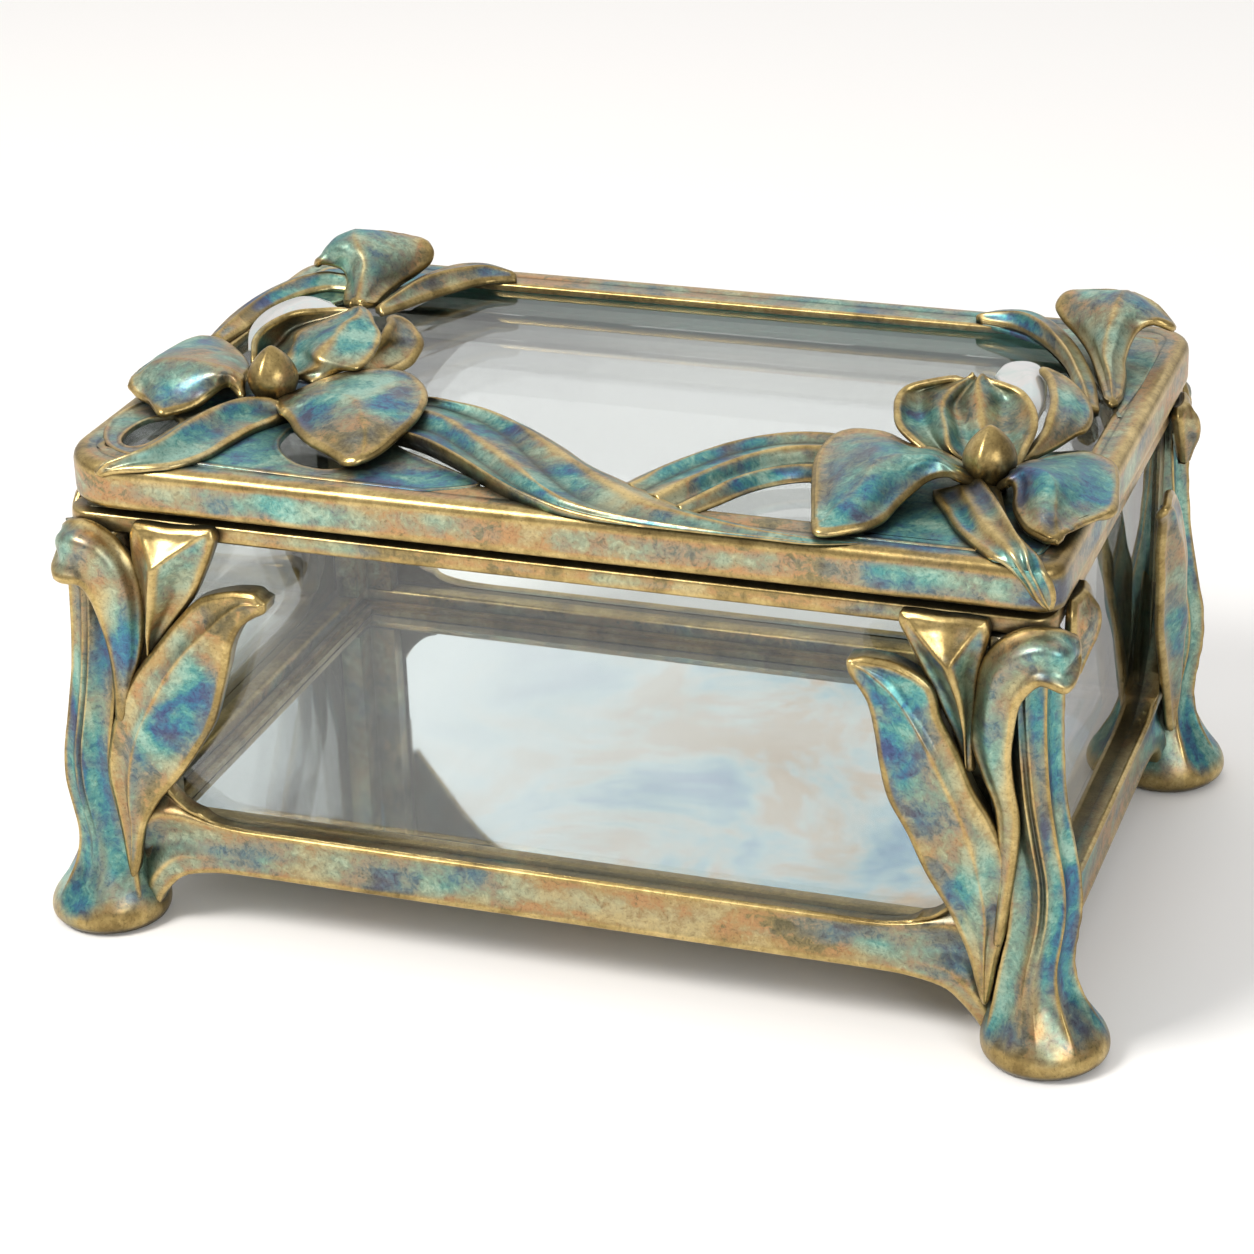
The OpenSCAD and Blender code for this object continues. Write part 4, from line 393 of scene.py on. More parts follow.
class Parts:
    """Several closed shells gathered in one object."""
    def __init__(self): self.V, self.F, self.W, self.D = [], [], [], []
    def add(self, V, Fc, W=None, D=None):
        k = len(self.V); self.V += [tuple(v) for v in V]; self.F += [tuple(i + k for i in f) for f in Fc]
        self.W += list(W if W is not None else [0.0] * len(V)); self.D += list(D if D is not None else [0.0] * len(V))
        return self
    def mirrored(self, sx, sy):
        q = Parts(); q.V = [(v[0] * sx, v[1] * sy, v[2]) for v in self.V]; q.F = list(self.F); q.W = list(self.W); q.D = list(self.D)
        return q
    def obj(self, name, mat, body, nodes=(), **k):
        return mesh_object(name, self.V, self.F, mat, body, nodes, self.W, self.D, **k)

def round_tip(rows, out=0.32, keep=0.5):
    """One more short row, so that a leaf or petal ends in a curve and not in a straight cut."""
    a, b = np.array(rows[-2], float), np.array(rows[-1], float); ca, cb = a.mean(0), b.mean(0)
    w = np.linalg.norm(b[0] - b[-1]); d = unit(cb - ca)
    return [list(map(list, r)) for r in rows] + [[list(p) for p in cb + d * w * out + (b - cb) * keep]]

def round_root(rows, out=1.5, keep=0.35):
    """The same at the root of a leaf."""
    return round_tip([list(r) for r in rows[::-1]], out, keep)[::-1]

def round_ends(G, c0, c1):
    """Draw the first and last rows of a grid together, so that its corners turn into a curve."""
    nr, nc, _ = G.shape; v = np.linspace(-0.5, 0.5, nc); H = G.copy(); k = np.arange(nc)
    for i in range(nr):
        t = i / (nr - 1); s = 1.0
        for c, q in ((c0, t), (c1, 1 - t)):
            if c and q < c: s = min(s, max(0.35, (1 - (1 - q / c) ** 2.2) ** (1 / 2.2)))
        if s < 1:
            x = (v * s + 0.5) * (nc - 1)
            for a in range(3): H[i, :, a] = np.interp(x, k, G[i, :, a])
    return H

def shell(rows, up, r=0.8, n=8, m=10, bead=0.3, bead_w=0.7, ribs=(), drop=None, floor=None, disp=None, rim_wear=0.95, arc=5, face_wear=0.0, wear_w=0.6, halo=0.4, wearf=None, ends=(0, 0)):
    """A cast petal: a smooth surface with a rounded rim. With drop it stands on a skirt in that direction.
    ribs: (position across 0..1, height, width, rubbed gold) lines that run along it; a negative last value darkens the
    line instead: dark patina and painted shade in its groove."""
    G = round_ends(grid(rows, n, m), *ends); nr, nc, _ = G.shape
    u = np.linspace(0, 1, nr)[:, None] * np.ones((1, nc)); v = np.ones((nr, 1)) * np.linspace(0, 1, nc)[None]
    N = normals(G, up); loop = loop_of(nr, nc); D = edge_distance(G, loop)
    wear_and_light = rim_wear * np.exp(-(D / wear_w) ** 2) + halo * np.exp(-(D / 3.4) ** 2) + face_wear; dirt_and_shade = np.zeros_like(D)
    H = bead * np.exp(-((D - 0.5) / bead_w) ** 2) - bead * 0.45 * np.exp(-((D - 2.3) / 1.0) ** 2)
    for pos, h, w, wr in ribs:
        c = pos(u) if callable(pos) else pos
        k = np.exp(-np.abs((v - c) / w) ** 1.5) * np.clip(D / 1.5, 0, 1)
        hh = h(u) if callable(h) else h
        H = H + hh * k
        if callable(wr): wear_and_light = wear_and_light + wr(u) * k
        elif wr > 0: wear_and_light = wear_and_light + wr * k
        # a negative value darkens the line: dark patina and painted shade in its groove
        else: dirt_and_shade = dirt_and_shade - wr * k
    if disp is not None: H = H + disp(u, v, D) * np.clip(D / 2.0, 0, 1)
    if wearf is not None: wear_and_light = wear_and_light + wearf(u, v, D)
    S = G + N * H[..., None]
    idx = {p: k for k, p in enumerate((i, j) for i in range(nr) for j in range(nc))}
    V = [tuple(p) for p in S.reshape(-1, 3)]; W = list(np.clip(wear_and_light, 0, 1).reshape(-1)); Dd = list(np.clip(dirt_and_shade, 0, 1).reshape(-1))
    Fc = [(idx[i, j], idx[i, j + 1], idx[i + 1, j + 1], idx[i + 1, j]) for i in range(nr - 1) for j in range(nc - 1)]
    L = len(loop)
    P = np.array([S[i, j] for i, j in loop]); Nn = np.array([N[i, j] for i, j in loop])
    Tn = unit(np.roll(P, -1, 0) - np.roll(P, 1, 0)); out = unit(np.cross(Tn, Nn))
    inner = np.array([S[min(max(i, 1), nr - 2), min(max(j, 1), nc - 2)] for i, j in loop])
    sgn = np.sign(((P - inner) * out).sum(-1, keepdims=True)); sgn[sgn == 0] = 1
    if np.median(sgn) < 0: out = -out
    for _ in range(3): out = unit(out * 2 + np.roll(out, 1, 0) + np.roll(out, -1, 0))
    prev = [idx[p] for p in loop]
    end_a = -90 if drop is None else 0
    for k in range(1, arc + 1):
        a = math.radians(90 + (end_a - 90) * k / arc)
        ring = P - Nn * r + Nn * r * math.sin(a) + out * r * math.cos(a)
        base = len(V); V += [tuple(p) for p in ring]; W += [rim_wear * (1.0 if a > -0.6 else 0.5)] * L; Dd += [0.0] * L
        cur = list(range(base, base + L))
        Fc += [(prev[q], cur[q], cur[(q + 1) % L], prev[(q + 1) % L]) for q in range(L)]
        prev = cur
    if drop is None:
        # the back of the petal is darkened: painted shade on its underside
        base = len(V); B = S - N * 2 * r
        V += [tuple(p) for p in B.reshape(-1, 3)]; W += [0.15] * (nr * nc); Dd += [0.5] * (nr * nc)
        Fc += [(base + idx[i, j], base + idx[i + 1, j], base + idx[i + 1, j + 1], base + idx[i, j + 1]) for i in range(nr - 1) for j in range(nc - 1)]
        Fc += [(prev[q], base + idx[loop[q]], base + idx[loop[(q + 1) % L]], prev[(q + 1) % L]) for q in range(L)]
    else:
        dv = np.asarray(drop, float); ln = np.linalg.norm(dv); dn = dv / ln
        last = np.array([V[k] for k in prev])
        B = last + dv if floor is None else last + dn * np.maximum((floor - last @ dn)[:, None], 0.02)
        # the skirt and the face under it are darkened: painted shade under the rim
        base = len(V); V += [tuple(p) for p in B]; W += [0.25 * rim_wear] * L; Dd += [0.35] * L
        cur = list(range(base, base + L))
        Fc += [(prev[q], cur[q], cur[(q + 1) % L], prev[(q + 1) % L]) for q in range(L)]
        base = len(V); S0 = G.reshape(-1, 3)
        Bt = S0 + dv if floor is None else S0 + dn * np.maximum((floor - S0 @ dn)[:, None], 0.02)
        V += [tuple(p) for p in Bt]; W += [0.4] * (nr * nc); Dd += [0.1] * (nr * nc)
        Fc += [(base + idx[i, j], base + idx[i + 1, j], base + idx[i + 1, j + 1], base + idx[i, j + 1]) for i in range(nr - 1) for j in range(nc - 1)]
        Fc += [(cur[q], base + idx[loop[q]], base + idx[loop[(q + 1) % L]], cur[(q + 1) % L]) for q in range(L)]
    return V, Fc, W, Dd

def strands(curves, n=6, m=5, floor=102.0, sharp=0.25, kinds="", r=0.35):
    """A bundle of stems: curves run side by side, ridge and groove in turn, over a flat ground."""
    rows = [list(c) for c in zip(*curves)]
    G = grid(rows, n, m); nr, nc, _ = G.shape
    G[..., 2] = np.maximum(G[..., 2], floor + 0.08)
    v = np.linspace(0, len(curves) - 1, nc)[None] * np.ones((nr, 1))
    wear_and_light = np.zeros((nr, nc)); dirt_and_shade = np.zeros((nr, nc)); H = np.zeros((nr, nc))
    for k, kind in enumerate(kinds):
        b = np.exp(-np.abs((v - k) / 0.22) ** 1.4)
        if kind == "r": wear_and_light = np.maximum(wear_and_light, b); H += sharp * b
        # grooves are darkened: dark patina and painted shade
        elif kind == "g": dirt_and_shade = np.maximum(dirt_and_shade, b); H -= sharp * b
        elif kind == "e": wear_and_light = np.maximum(wear_and_light, 0.9 * b)
    fade = np.clip((G[..., 2] - floor) / 1.5, 0, 1); H *= fade; dirt_and_shade *= fade
    G[..., 2] += H; G[..., 2] = np.maximum(G[..., 2], floor + 0.05)
    idx = {p: k for k, p in enumerate((i, j) for i in range(nr) for j in range(nc))}
    V = [tuple(p) for p in G.reshape(-1, 3)]; W = list(wear_and_light.reshape(-1)); D = list(dirt_and_shade.reshape(-1))
    Fc = [(idx[i, j], idx[i, j + 1], idx[i + 1, j + 1], idx[i + 1, j]) for i in range(nr - 1) for j in range(nc - 1)]
    loop = loop_of(nr, nc); L = len(loop); P = np.array([G[p] for p in loop]); prev = [idx[p] for p in loop]
    T = unit(np.roll(P, -1, 0) - np.roll(P, 1, 0)); out = unit(np.cross(T, np.array([[0, 0, 1.0]])))
    Cc = np.array([G[i, nc // 2] for i, j in loop])
    if np.median(((P - Cc) * out).sum(-1)) < 0: out = -out
    # the lowest ring of the side and the ground under the stems are darkened: painted shade
    for k, (o_, z_) in enumerate(((r * 0.7, r * 0.3), (r, r), (r * 1.1, None))):
        Q = P + out * o_; Q[:, 2] = P[:, 2] - z_ if z_ is not None else floor - 0.05
        Q[:, 2] = np.maximum(Q[:, 2], floor - 0.05)
        base = len(V); V += [tuple(p) for p in Q]; W += [0.8 if k < 2 else 0.1] * L; D += [0.0 if k < 2 else 0.6] * L
        cur = list(range(base, base + L)); Fc += [(prev[q], cur[q], cur[(q + 1) % L], prev[(q + 1) % L]) for q in range(L)]; prev = cur
    base = len(V); S0 = G.copy(); S0[..., 2] = floor - 0.05
    V += [tuple(p) for p in S0.reshape(-1, 3)]; W += [0.0] * (nr * nc); D += [0.5] * (nr * nc)
    Fc += [(base + idx[i, j], base + idx[i + 1, j], base + idx[i + 1, j + 1], base + idx[i, j + 1]) for i in range(nr - 1) for j in range(nc - 1)]
    Fc += [(prev[q], base + idx[loop[q]], base + idx[loop[(q + 1) % L]], prev[(q + 1) % L]) for q in range(L)]
    return V, Fc, W, D

def inset(loop, d):
    """Closed 2-D loop moved inwards by d (positive towards the inside of a counter-clockwise loop)."""
    P = np.asarray(loop, float); T = unit(np.roll(P, -1, 0) - P); n = np.stack([-T[:, 1], T[:, 0]], -1)
    a, b = np.roll(n, 1, 0), n; s = a + b; k = 2.0 / np.maximum((s * s).sum(-1, keepdims=True), 0.6)
    return P + s * k * d

def area2(P):
    P = np.asarray(P); x, y = P[:, 0], P[:, 1]
    return 0.5 * (x * np.roll(y, -1) - y * np.roll(x, -1)).sum()

def dense(P, step, closed=True):
    P = np.asarray(P, float); out = []; k = len(P)
    for i in range(k if closed else k - 1):
        a, b = P[i], P[(i + 1) % k]; q = max(1, int(np.linalg.norm(b - a) / step))
        out += [a + (b - a) * t / q for t in range(q)]
    if not closed: out.append(P[-1])
    return np.array(out)

def plate(outline, profile, place, holes=(), back=None):
    """A flat cast plate with a worked rim. profile: (inset, height, wear, dirt) from the side to the face.
    place maps (a, b, height) to space. back: height of its flat back."""
    V, Fc, W, D = [], [], [], []; faces_loops = []
    for li, lp in enumerate([outline] + list(holes)):
        P = np.asarray(lp, float)
        if (area2(P) < 0) == (li == 0): P = P[::-1]
        first = None; prev = None
        # the back of the plate is darkened: painted shade
        levels = ([(0.0, back, 0.1, 0.4)] if back is not None else []) + list(profile)
        for s_, h_, w_, d_ in levels:
            Q = inset(P, s_); base = len(V); L = len(Q)
            V += [place(q[0], q[1], h_) for q in Q]; W += [w_] * L; D += [d_] * L
            cur = list(range(base, base + L))
            if prev is not None: Fc += [(prev[q], prev[(q + 1) % L], cur[(q + 1) % L], cur[q]) for q in range(L)]
            else: first = cur
            prev = cur
        faces_loops.append((prev, inset(P, profile[-1][0]), first, P))
    for which in (0, 1):
        if which == 1 and back is None: break
        loops = [(l[0], l[1]) if which == 0 else (l[2], l[3]) for l in faces_loops]
        tri = tessellate_polygon([[Vector((p[0], p[1], 0)) for p in pts] for _, pts in loops])
        flat = [i for ids, _ in loops for i in ids]
        Fc += [tuple(flat[i] for i in t) for t in tri]
    return V, Fc, W, D

def rrect(hx, hy, radii, z, nc=10, ns=24):
    """Rounded rectangle, with the radius of each corner: front left, front right, back right, back left."""
    P = []
    cs = [(-1, -1, 180), (1, -1, 270), (1, 1, 0), (-1, 1, 90)]
    ends = []
    for (sx, sy, a0), r in zip(cs, radii):
        cx, cy = sx * (hx - r), sy * (hy - r)
        ends.append([(cx + r * math.cos(math.radians(a0 + 90 * t / nc)), cy + r * math.sin(math.radians(a0 + 90 * t / nc))) for t in range(nc + 1)])
    for i in range(4):
        P += ends[i]
        a, b = np.array(ends[i][-1]), np.array(ends[(i + 1) % 4][0])
        P += [tuple(a + (b - a) * t / ns) for t in range(1, ns)]
    return [(x, y, z) for x, y in P]

def ring_loft(rings, closed=True):
    """rings: list of (points, wear, dirt), joined one to the next."""
    V, Fc, W, D = [], [], [], []; L = len(rings[0][0])
    for P, w, d in rings: V += P; W += [w] * L; D += [d] * L
    n = len(rings)
    for k in range(n if closed else n - 1):
        a, b = k * L, ((k + 1) % n) * L
        Fc += [(a + q, b + q, b + (q + 1) % L, a + (q + 1) % L) for q in range(L)]
    return V, Fc, W, D

# ---------------------------------------------------------------- materials
def new_mat(name):
    m = bpy.data.materials.new(name); m.use_nodes = True; nt = m.node_tree; nt.nodes.clear()
    return m, nt, nt.nodes, nt.links

def N_(nt, kind, **k):
    n = nt.nodes.new(kind)
    for a, b in k.items():
        if a == "inputs":
            for key, val in b.items(): n.inputs[key].default_value = val
        else: setattr(n, a, b)
    return n

def ramp(nt, stops, fac, interp="LINEAR"):
    r = nt.nodes.new("ShaderNodeValToRGB"); r.color_ramp.interpolation = interp; e = r.color_ramp.elements
    while len(e) > 1: e.remove(e[-1])
    e[0].position, e[0].color = stops[0][0], (*stops[0][1], 1)
    for p, c in stops[1:]:
        q = e.new(p); q.color = (*c, 1)
    nt.links.new(fac, r.inputs[0]); return r.outputs[0]

def g(v): return (v, v, v)

def mix(nt, a, b, fac, mode="MIX"):
    n = nt.nodes.new("ShaderNodeMix"); n.data_type = "RGBA"; n.blend_type = mode; n.clamp_factor = True
    for sock, val in ((0, fac), (6, a), (7, b)):
        if isinstance(val, bpy.types.NodeSocket): nt.links.new(val, n.inputs[sock])
        elif sock == 0: n.inputs[0].default_value = val
        else: n.inputs[sock].default_value = (*val, 1)
    return n.outputs[2]

def math_(nt, op, a, b=0.5, clamp=False):
    n = nt.nodes.new("ShaderNodeMath"); n.operation = op; n.use_clamp = clamp
    for i, val in enumerate((a, b)):
        if isinstance(val, bpy.types.NodeSocket): nt.links.new(val, n.inputs[i])
        else: n.inputs[i].default_value = val
    return n.outputs[0]

def noise_(nt, vec, scale, detail=3, rough=0.55, dist=0.0):
    n = N_(nt, "ShaderNodeTexNoise", inputs={"Scale": scale, "Detail": detail, "Roughness": rough, "Distortion": dist})
    nt.links.new(vec, n.inputs["Vector"]); return n.outputs["Fac"]

def bronze(name, cool=0.5, gold=0.0, seed=(0, 0, 0), scale=1.0, blue=0.0, stretch=(1, 1, 1)):
    """Cast bronze with a clouded blue, green and copper patina, rubbed to gold on its edges. Hollows, grooves and
    undersides are darkened, partly dark patina and partly painted shade, and inner faces are painted pale as painted
    light.
    """
    m, nt, nodes, links = new_mat(name)
    tc = N_(nt, "ShaderNodeTexCoord"); mp = N_(nt, "ShaderNodeMapping"); mp.inputs["Location"].default_value = seed; mp.inputs["Scale"].default_value = stretch
    links.new(tc.outputs["Object"], mp.inputs["Vector"]); vec = mp.outputs["Vector"]
    a = noise_(nt, vec, 40 * scale, 3, 0.5, 0.8)           # warm or cool clouds
    b = noise_(nt, vec, 60 * scale, 3, 0.55, 1.2)          # which hue
    c = noise_(nt, tc.outputs["Object"], 1700, 2, 0.6)                      # grain
    d = noise_(nt, tc.outputs["Object"], 230, 3, 0.6)                       # mottling
    e = noise_(nt, tc.outputs["Object"], 560, 4, 0.7, 0.8)                  # fine mottling of the patina
    b = math_(nt, "ADD", b, math_(nt, "ADD", math_(nt, "MULTIPLY", math_(nt, "SUBTRACT", e, 0.5), 0.45), math_(nt, "MULTIPLY", math_(nt, "SUBTRACT", d, 0.5), 0.3)))
    cold = ramp(nt, [(0.30, (0.075, 0.105, 0.215)), (0.40, (0.065, 0.185, 0.285)), (0.48, (0.080, 0.265, 0.280)), (0.56, (0.145, 0.350, 0.305)), (0.67, (0.310, 0.490, 0.400))], math_(nt, "ADD", b, -blue))
    warm = ramp(nt, [(0.30, (0.160, 0.140, 0.080)), (0.42, (0.270, 0.215, 0.105)), (0.475, (0.450, 0.250, 0.118)), (0.53, (0.430, 0.262, 0.125)), (0.585, (0.380, 0.285, 0.145)), (0.68, (0.450, 0.375, 0.205))], b)
    at = N_(nt, "ShaderNodeAttribute", attribute_name="wear_and_light"); dt = N_(nt, "ShaderNodeAttribute", attribute_name="dirt_and_shade")
    fa = math_(nt, "ADD", math_(nt, "MULTIPLY", math_(nt, "SUBTRACT", a, 0.5), 3.6), cool)
    fa = math_(nt, "SUBTRACT", fa, math_(nt, "MULTIPLY", at.outputs["Fac"], 0.9))
    fa = math_(nt, "ADD", fa, math_(nt, "MULTIPLY", math_(nt, "SUBTRACT", d, 0.5), 0.9), True)
    col = mix(nt, warm, cold, fa)
    gcol = ramp(nt, [(0.3, (0.240, 0.165, 0.060)), (0.5, (0.410, 0.295, 0.112)), (0.7, (0.600, 0.450, 0.195))], b)
    w = math_(nt, "ADD", at.outputs["Fac"], math_(nt, "MULTIPLY", math_(nt, "SUBTRACT", d, 0.5), 0.8))
    w = math_(nt, "SUBTRACT", w, math_(nt, "MULTIPLY", math_(nt, "SUBTRACT", a, 0.5), 1.5))
    w = math_(nt, "MULTIPLY", math_(nt, "SUBTRACT", w, 0.30), 1.7, True)
    w = math_(nt, "MAXIMUM", w, gold, True)
    col = mix(nt, col, gcol, w)
    # painted shade: ambient occlusion darkens the colour within 5 mm of other surfaces, in crevices, recesses and on
    # faces close behind the glass
    ao = N_(nt, "ShaderNodeAmbientOcclusion", samples=6, inputs={"Distance": 0.005})
    occ = ramp(nt, [(0.25, g(0)), (0.88, g(1))], ao.outputs["AO"])
    # painted shade and dark patina: this darkens grooves, creases, recesses, undersides and inner faces towards near
    # black
    dark = mix(nt, col, (0.050, 0.047, 0.032), math_(nt, "MULTIPLY", dt.outputs["Fac"], 0.8))
    sep = mix(nt, (0.070, 0.062, 0.036), dark, occ)
    col = mix(nt, dark, sep, 0.85)
    mottle = ramp(nt, [(0.32, g(0.74)), (0.46, g(0.97)), (0.60, g(1.04)), (0.72, g(1.22))], e)
    col = mix(nt, col, mottle, math_(nt, "SUBTRACT", 0.75, math_(nt, "MULTIPLY", w, 0.5)), "MULTIPLY")
    grain = ramp(nt, [(0.30, g(0.62)), (0.42, g(0.96)), (0.60, g(1.0)), (0.70, g(1.16))], c)
    col = mix(nt, col, grain, 0.8, "MULTIPLY")
    col = mix(nt, col, (0.76, 0.76, 0.71), math_(nt, "SUBTRACT", at.outputs["Fac"], 1.0, True))      # painted light: faces with a wear value above 1, the inner faces of the rails, are painted pale to stand in for the bright light seen through the glass there
    p = N_(nt, "ShaderNodeBsdfPrincipled"); out = N_(nt, "ShaderNodeOutputMaterial")
    links.new(col, p.inputs["Base Color"]); p.inputs["Metallic"].default_value = 0.9
    rg = ramp(nt, [(0.3, g(0.33)), (0.7, g(0.45))], d)
    rg = mix(nt, rg, g(0.29), math_(nt, "MULTIPLY", w, 0.7)); links.new(rg, p.inputs["Roughness"])
    bmp = N_(nt, "ShaderNodeBump", inputs={"Strength": 0.27, "Distance": 0.0001})
    hh = math_(nt, "ADD", math_(nt, "MULTIPLY", c, 0.6), math_(nt, "MULTIPLY", d, 0.9)); links.new(hh, bmp.inputs["Height"])
    links.new(bmp.outputs[0], p.inputs["Normal"]); links.new(p.outputs[0], out.inputs[0])
    return m

def glass_mat(name, axis):
    """Thin clear glass: lets the light straight through, shines by its angle, and is green at its cut edges."""
    m, nt, nodes, links = new_mat(name)
    tc = N_(nt, "ShaderNodeTexCoord"); sep = N_(nt, "ShaderNodeSeparateXYZ"); links.new(tc.outputs["Normal"], sep.inputs[0])
    face = math_(nt, "GREATER_THAN", math_(nt, "ABSOLUTE", sep.outputs[axis]), 0.7)
    fr = N_(nt, "ShaderNodeFresnel", inputs={"IOR": 1.5})
    tr = N_(nt, "ShaderNodeBsdfTransparent"); gl = N_(nt, "ShaderNodeBsdfGlossy", inputs={"Roughness": 0.02, "Color": (1, 1, 1, 1)})
    col = mix(nt, (0.30, 0.55, 0.50), (0.955, 0.972, 0.968), face); links.new(col, tr.inputs["Color"])
    mx = N_(nt, "ShaderNodeMixShader"); links.new(math_(nt, "MULTIPLY", fr.outputs[0], 0.8), mx.inputs[0]); links.new(tr.outputs[0], mx.inputs[1]); links.new(gl.outputs[0], mx.inputs[2])
    out = N_(nt, "ShaderNodeOutputMaterial"); links.new(mx.outputs[0], out.inputs[0])
    return m

def mirror_mat(name):
    """Silvered glass with pale blue, cream and grey clouds in the silvering."""
    m, nt, nodes, links = new_mat(name)
    tc = N_(nt, "ShaderNodeTexCoord"); mp = N_(nt, "ShaderNodeMapping"); mp.inputs["Location"].default_value = (0.31, 0.12, 0); links.new(tc.outputs["Object"], mp.inputs["Vector"])
    vec = mp.outputs["Vector"]
    a = noise_(nt, vec, 26, 5, 0.58, 0.6); b = noise_(nt, vec, 15, 3, 0.55, 0.4); c = noise_(nt, vec, 160, 4, 0.7)
    hue = ramp(nt, [(0.34, (0.18, 0.27, 0.42)), (0.42, (0.26, 0.39, 0.49)), (0.48, (0.37, 0.49, 0.53)), (0.54, (0.49, 0.51, 0.49)), (0.61, (0.51, 0.40, 0.31))], a)
    amt = ramp(nt, [(0.32, g(0.7)), (0.52, g(1.0))], b)
    sx = N_(nt, "ShaderNodeSeparateXYZ"); links.new(tc.outputs["Object"], sx.inputs[0])
    # painted reflection: the clouds fade out towards the left, where the silvering stays plain pale, standing in for
    # the bright background it reflects there
    side = math_(nt, "MULTIPLY", math_(nt, "ADD", sx.outputs[0], 0.06), 12.0, True)
    col = mix(nt, (0.82, 0.85, 0.86), hue, math_(nt, "MULTIPLY", amt, side))
    p = N_(nt, "ShaderNodeBsdfPrincipled"); out = N_(nt, "ShaderNodeOutputMaterial")
    links.new(col, p.inputs["Base Color"]); p.inputs["Metallic"].default_value = 0.85
    rg = ramp(nt, [(0.3, g(0.02)), (0.8, g(0.09))], c); links.new(rg, p.inputs["Roughness"])
    links.new(p.outputs[0], out.inputs[0]); return m

def pearl_mat(name):
    m, nt, nodes, links = new_mat(name)
    tc = N_(nt, "ShaderNodeTexCoord"); vec = tc.outputs["Object"]
    a = noise_(nt, vec, 120, 3, 0.6, 1.5); lw = N_(nt, "ShaderNodeLayerWeight", inputs={"Blend": 0.35})
    f = math_(nt, "ADD", math_(nt, "MULTIPLY", lw.outputs["Facing"], 0.6), math_(nt, "MULTIPLY", a, 0.6))
    # the colour shifts with the viewing angle, as nacre does, and turns darker grey where the surface turns away from
    # the view: painted shade towards its edges
    col = ramp(nt, [(0.20, (0.50, 0.51, 0.48)), (0.36, (0.54, 0.52, 0.45)), (0.48, (0.42, 0.47, 0.46)), (0.60, (0.48, 0.46, 0.44)), (0.75, (0.38, 0.43, 0.40)), (0.9, (0.28, 0.30, 0.30))], f)
    p = N_(nt, "ShaderNodeBsdfPrincipled"); out = N_(nt, "ShaderNodeOutputMaterial")
    links.new(col, p.inputs["Base Color"]); p.inputs["Roughness"].default_value = 0.22; p.inputs["Metallic"].default_value = 0.25
    p.inputs["Coat Weight"].default_value = 0.7; p.inputs["Coat Roughness"].default_value = 0.06
    bmp = N_(nt, "ShaderNodeBump", inputs={"Strength": 0.2, "Distance": 0.0002}); links.new(a, bmp.inputs["Height"]); links.new(bmp.outputs[0], p.inputs["Normal"])
    links.new(p.outputs[0], out.inputs[0]); return m

def pale_light_mat(name):
    """Satin pale metal of the strip that holds the lid glass from below, painted pale to stand in for the bright light
    seen through the glass there: painted light.
    """
    m, nt, nodes, links = new_mat(name)
    tc = N_(nt, "ShaderNodeTexCoord"); a = noise_(nt, tc.outputs["Object"], 60, 3, 0.6); b = noise_(nt, tc.outputs["Object"], 900, 2, 0.6)
    col = ramp(nt, [(0.3, (0.66, 0.68, 0.66)), (0.5, (0.76, 0.75, 0.69)), (0.7, (0.72, 0.76, 0.74))], a)
    p = N_(nt, "ShaderNodeBsdfPrincipled"); out = N_(nt, "ShaderNodeOutputMaterial"); links.new(col, p.inputs["Base Color"]); p.inputs["Metallic"].default_value = 0.5
    links.new(ramp(nt, [(0.3, g(0.35)), (0.7, g(0.5))], b), p.inputs["Roughness"]); links.new(p.outputs[0], out.inputs[0]); return m

def felt_mat(name):
    m, nt, nodes, links = new_mat(name)
    tc = N_(nt, "ShaderNodeTexCoord"); a = noise_(nt, tc.outputs["Object"], 2500, 3, 0.7)
    col = ramp(nt, [(0.3, (0.02, 0.018, 0.014)), (0.7, (0.07, 0.06, 0.05))], a)
    p = N_(nt, "ShaderNodeBsdfPrincipled"); out = N_(nt, "ShaderNodeOutputMaterial"); links.new(col, p.inputs["Base Color"]); p.inputs["Roughness"].default_value = 0.95
    bmp = N_(nt, "ShaderNodeBump", inputs={"Strength": 0.6, "Distance": 0.0002}); links.new(a, bmp.inputs["Height"]); links.new(bmp.outputs[0], p.inputs["Normal"])
    links.new(p.outputs[0], out.inputs[0]); return m

PAT = bronze("patinated_bronze", 0.74, 0.0, (0.3, 0.1, 0.2))
PATV = bronze("patinated_bronze_upright", 0.92, 0.0, (0.35, 0.15, 0.25), 1.15, 0.0, (1, 1, 0.45))
PATF = bronze("patinated_bronze_rail", 0.54, 0.0, (0.9, 0.4, 0.1), 0.95, 0.0, (0.6, 0.6, 1))
PATB = bronze("patinated_bronze_blue", 0.84, 0.0, (0.5, 0.7, 0.3), 1.0, 0.04)
GOLD = bronze("worn_gold_bronze", 0.15, 0.72, (0.2, 0.5, 0.8))
PATL = bronze("patinated_bronze_leaf", 0.88, 0.0, (0.15, 0.45, 0.6), 1.05, 0.01)
PATS = bronze("patinated_bronze_petal", 0.80, 0.0, (0.7, 0.2, 0.5), 1.15, -0.03)
PATG = bronze("green_gold_bronze", 0.62, 0.0, (0.1, 0.6, 0.4))
EGG = bronze("bud_bronze", 0.52, 0.34, (0.25, 0.35, 0.15))
GPAT = bronze("half_worn_bronze", 0.40, 0.30, (0.6, 0.2, 0.4))
PALE_LIGHT = pale_light_mat("pale_painted_light")
BRASS = bronze("hinge_brass", 0.1, 0.9, (0.1, 0.9, 0.6))
GLX, GLY, GLZ = glass_mat("glass_facing_x", 0), glass_mat("glass_facing_y", 1), glass_mat("glass_facing_z", 2)
MIRROR, PEARL, FELT = mirror_mat("mirror_silvering"), pearl_mat("mother_of_pearl"), felt_mat("black_felt")

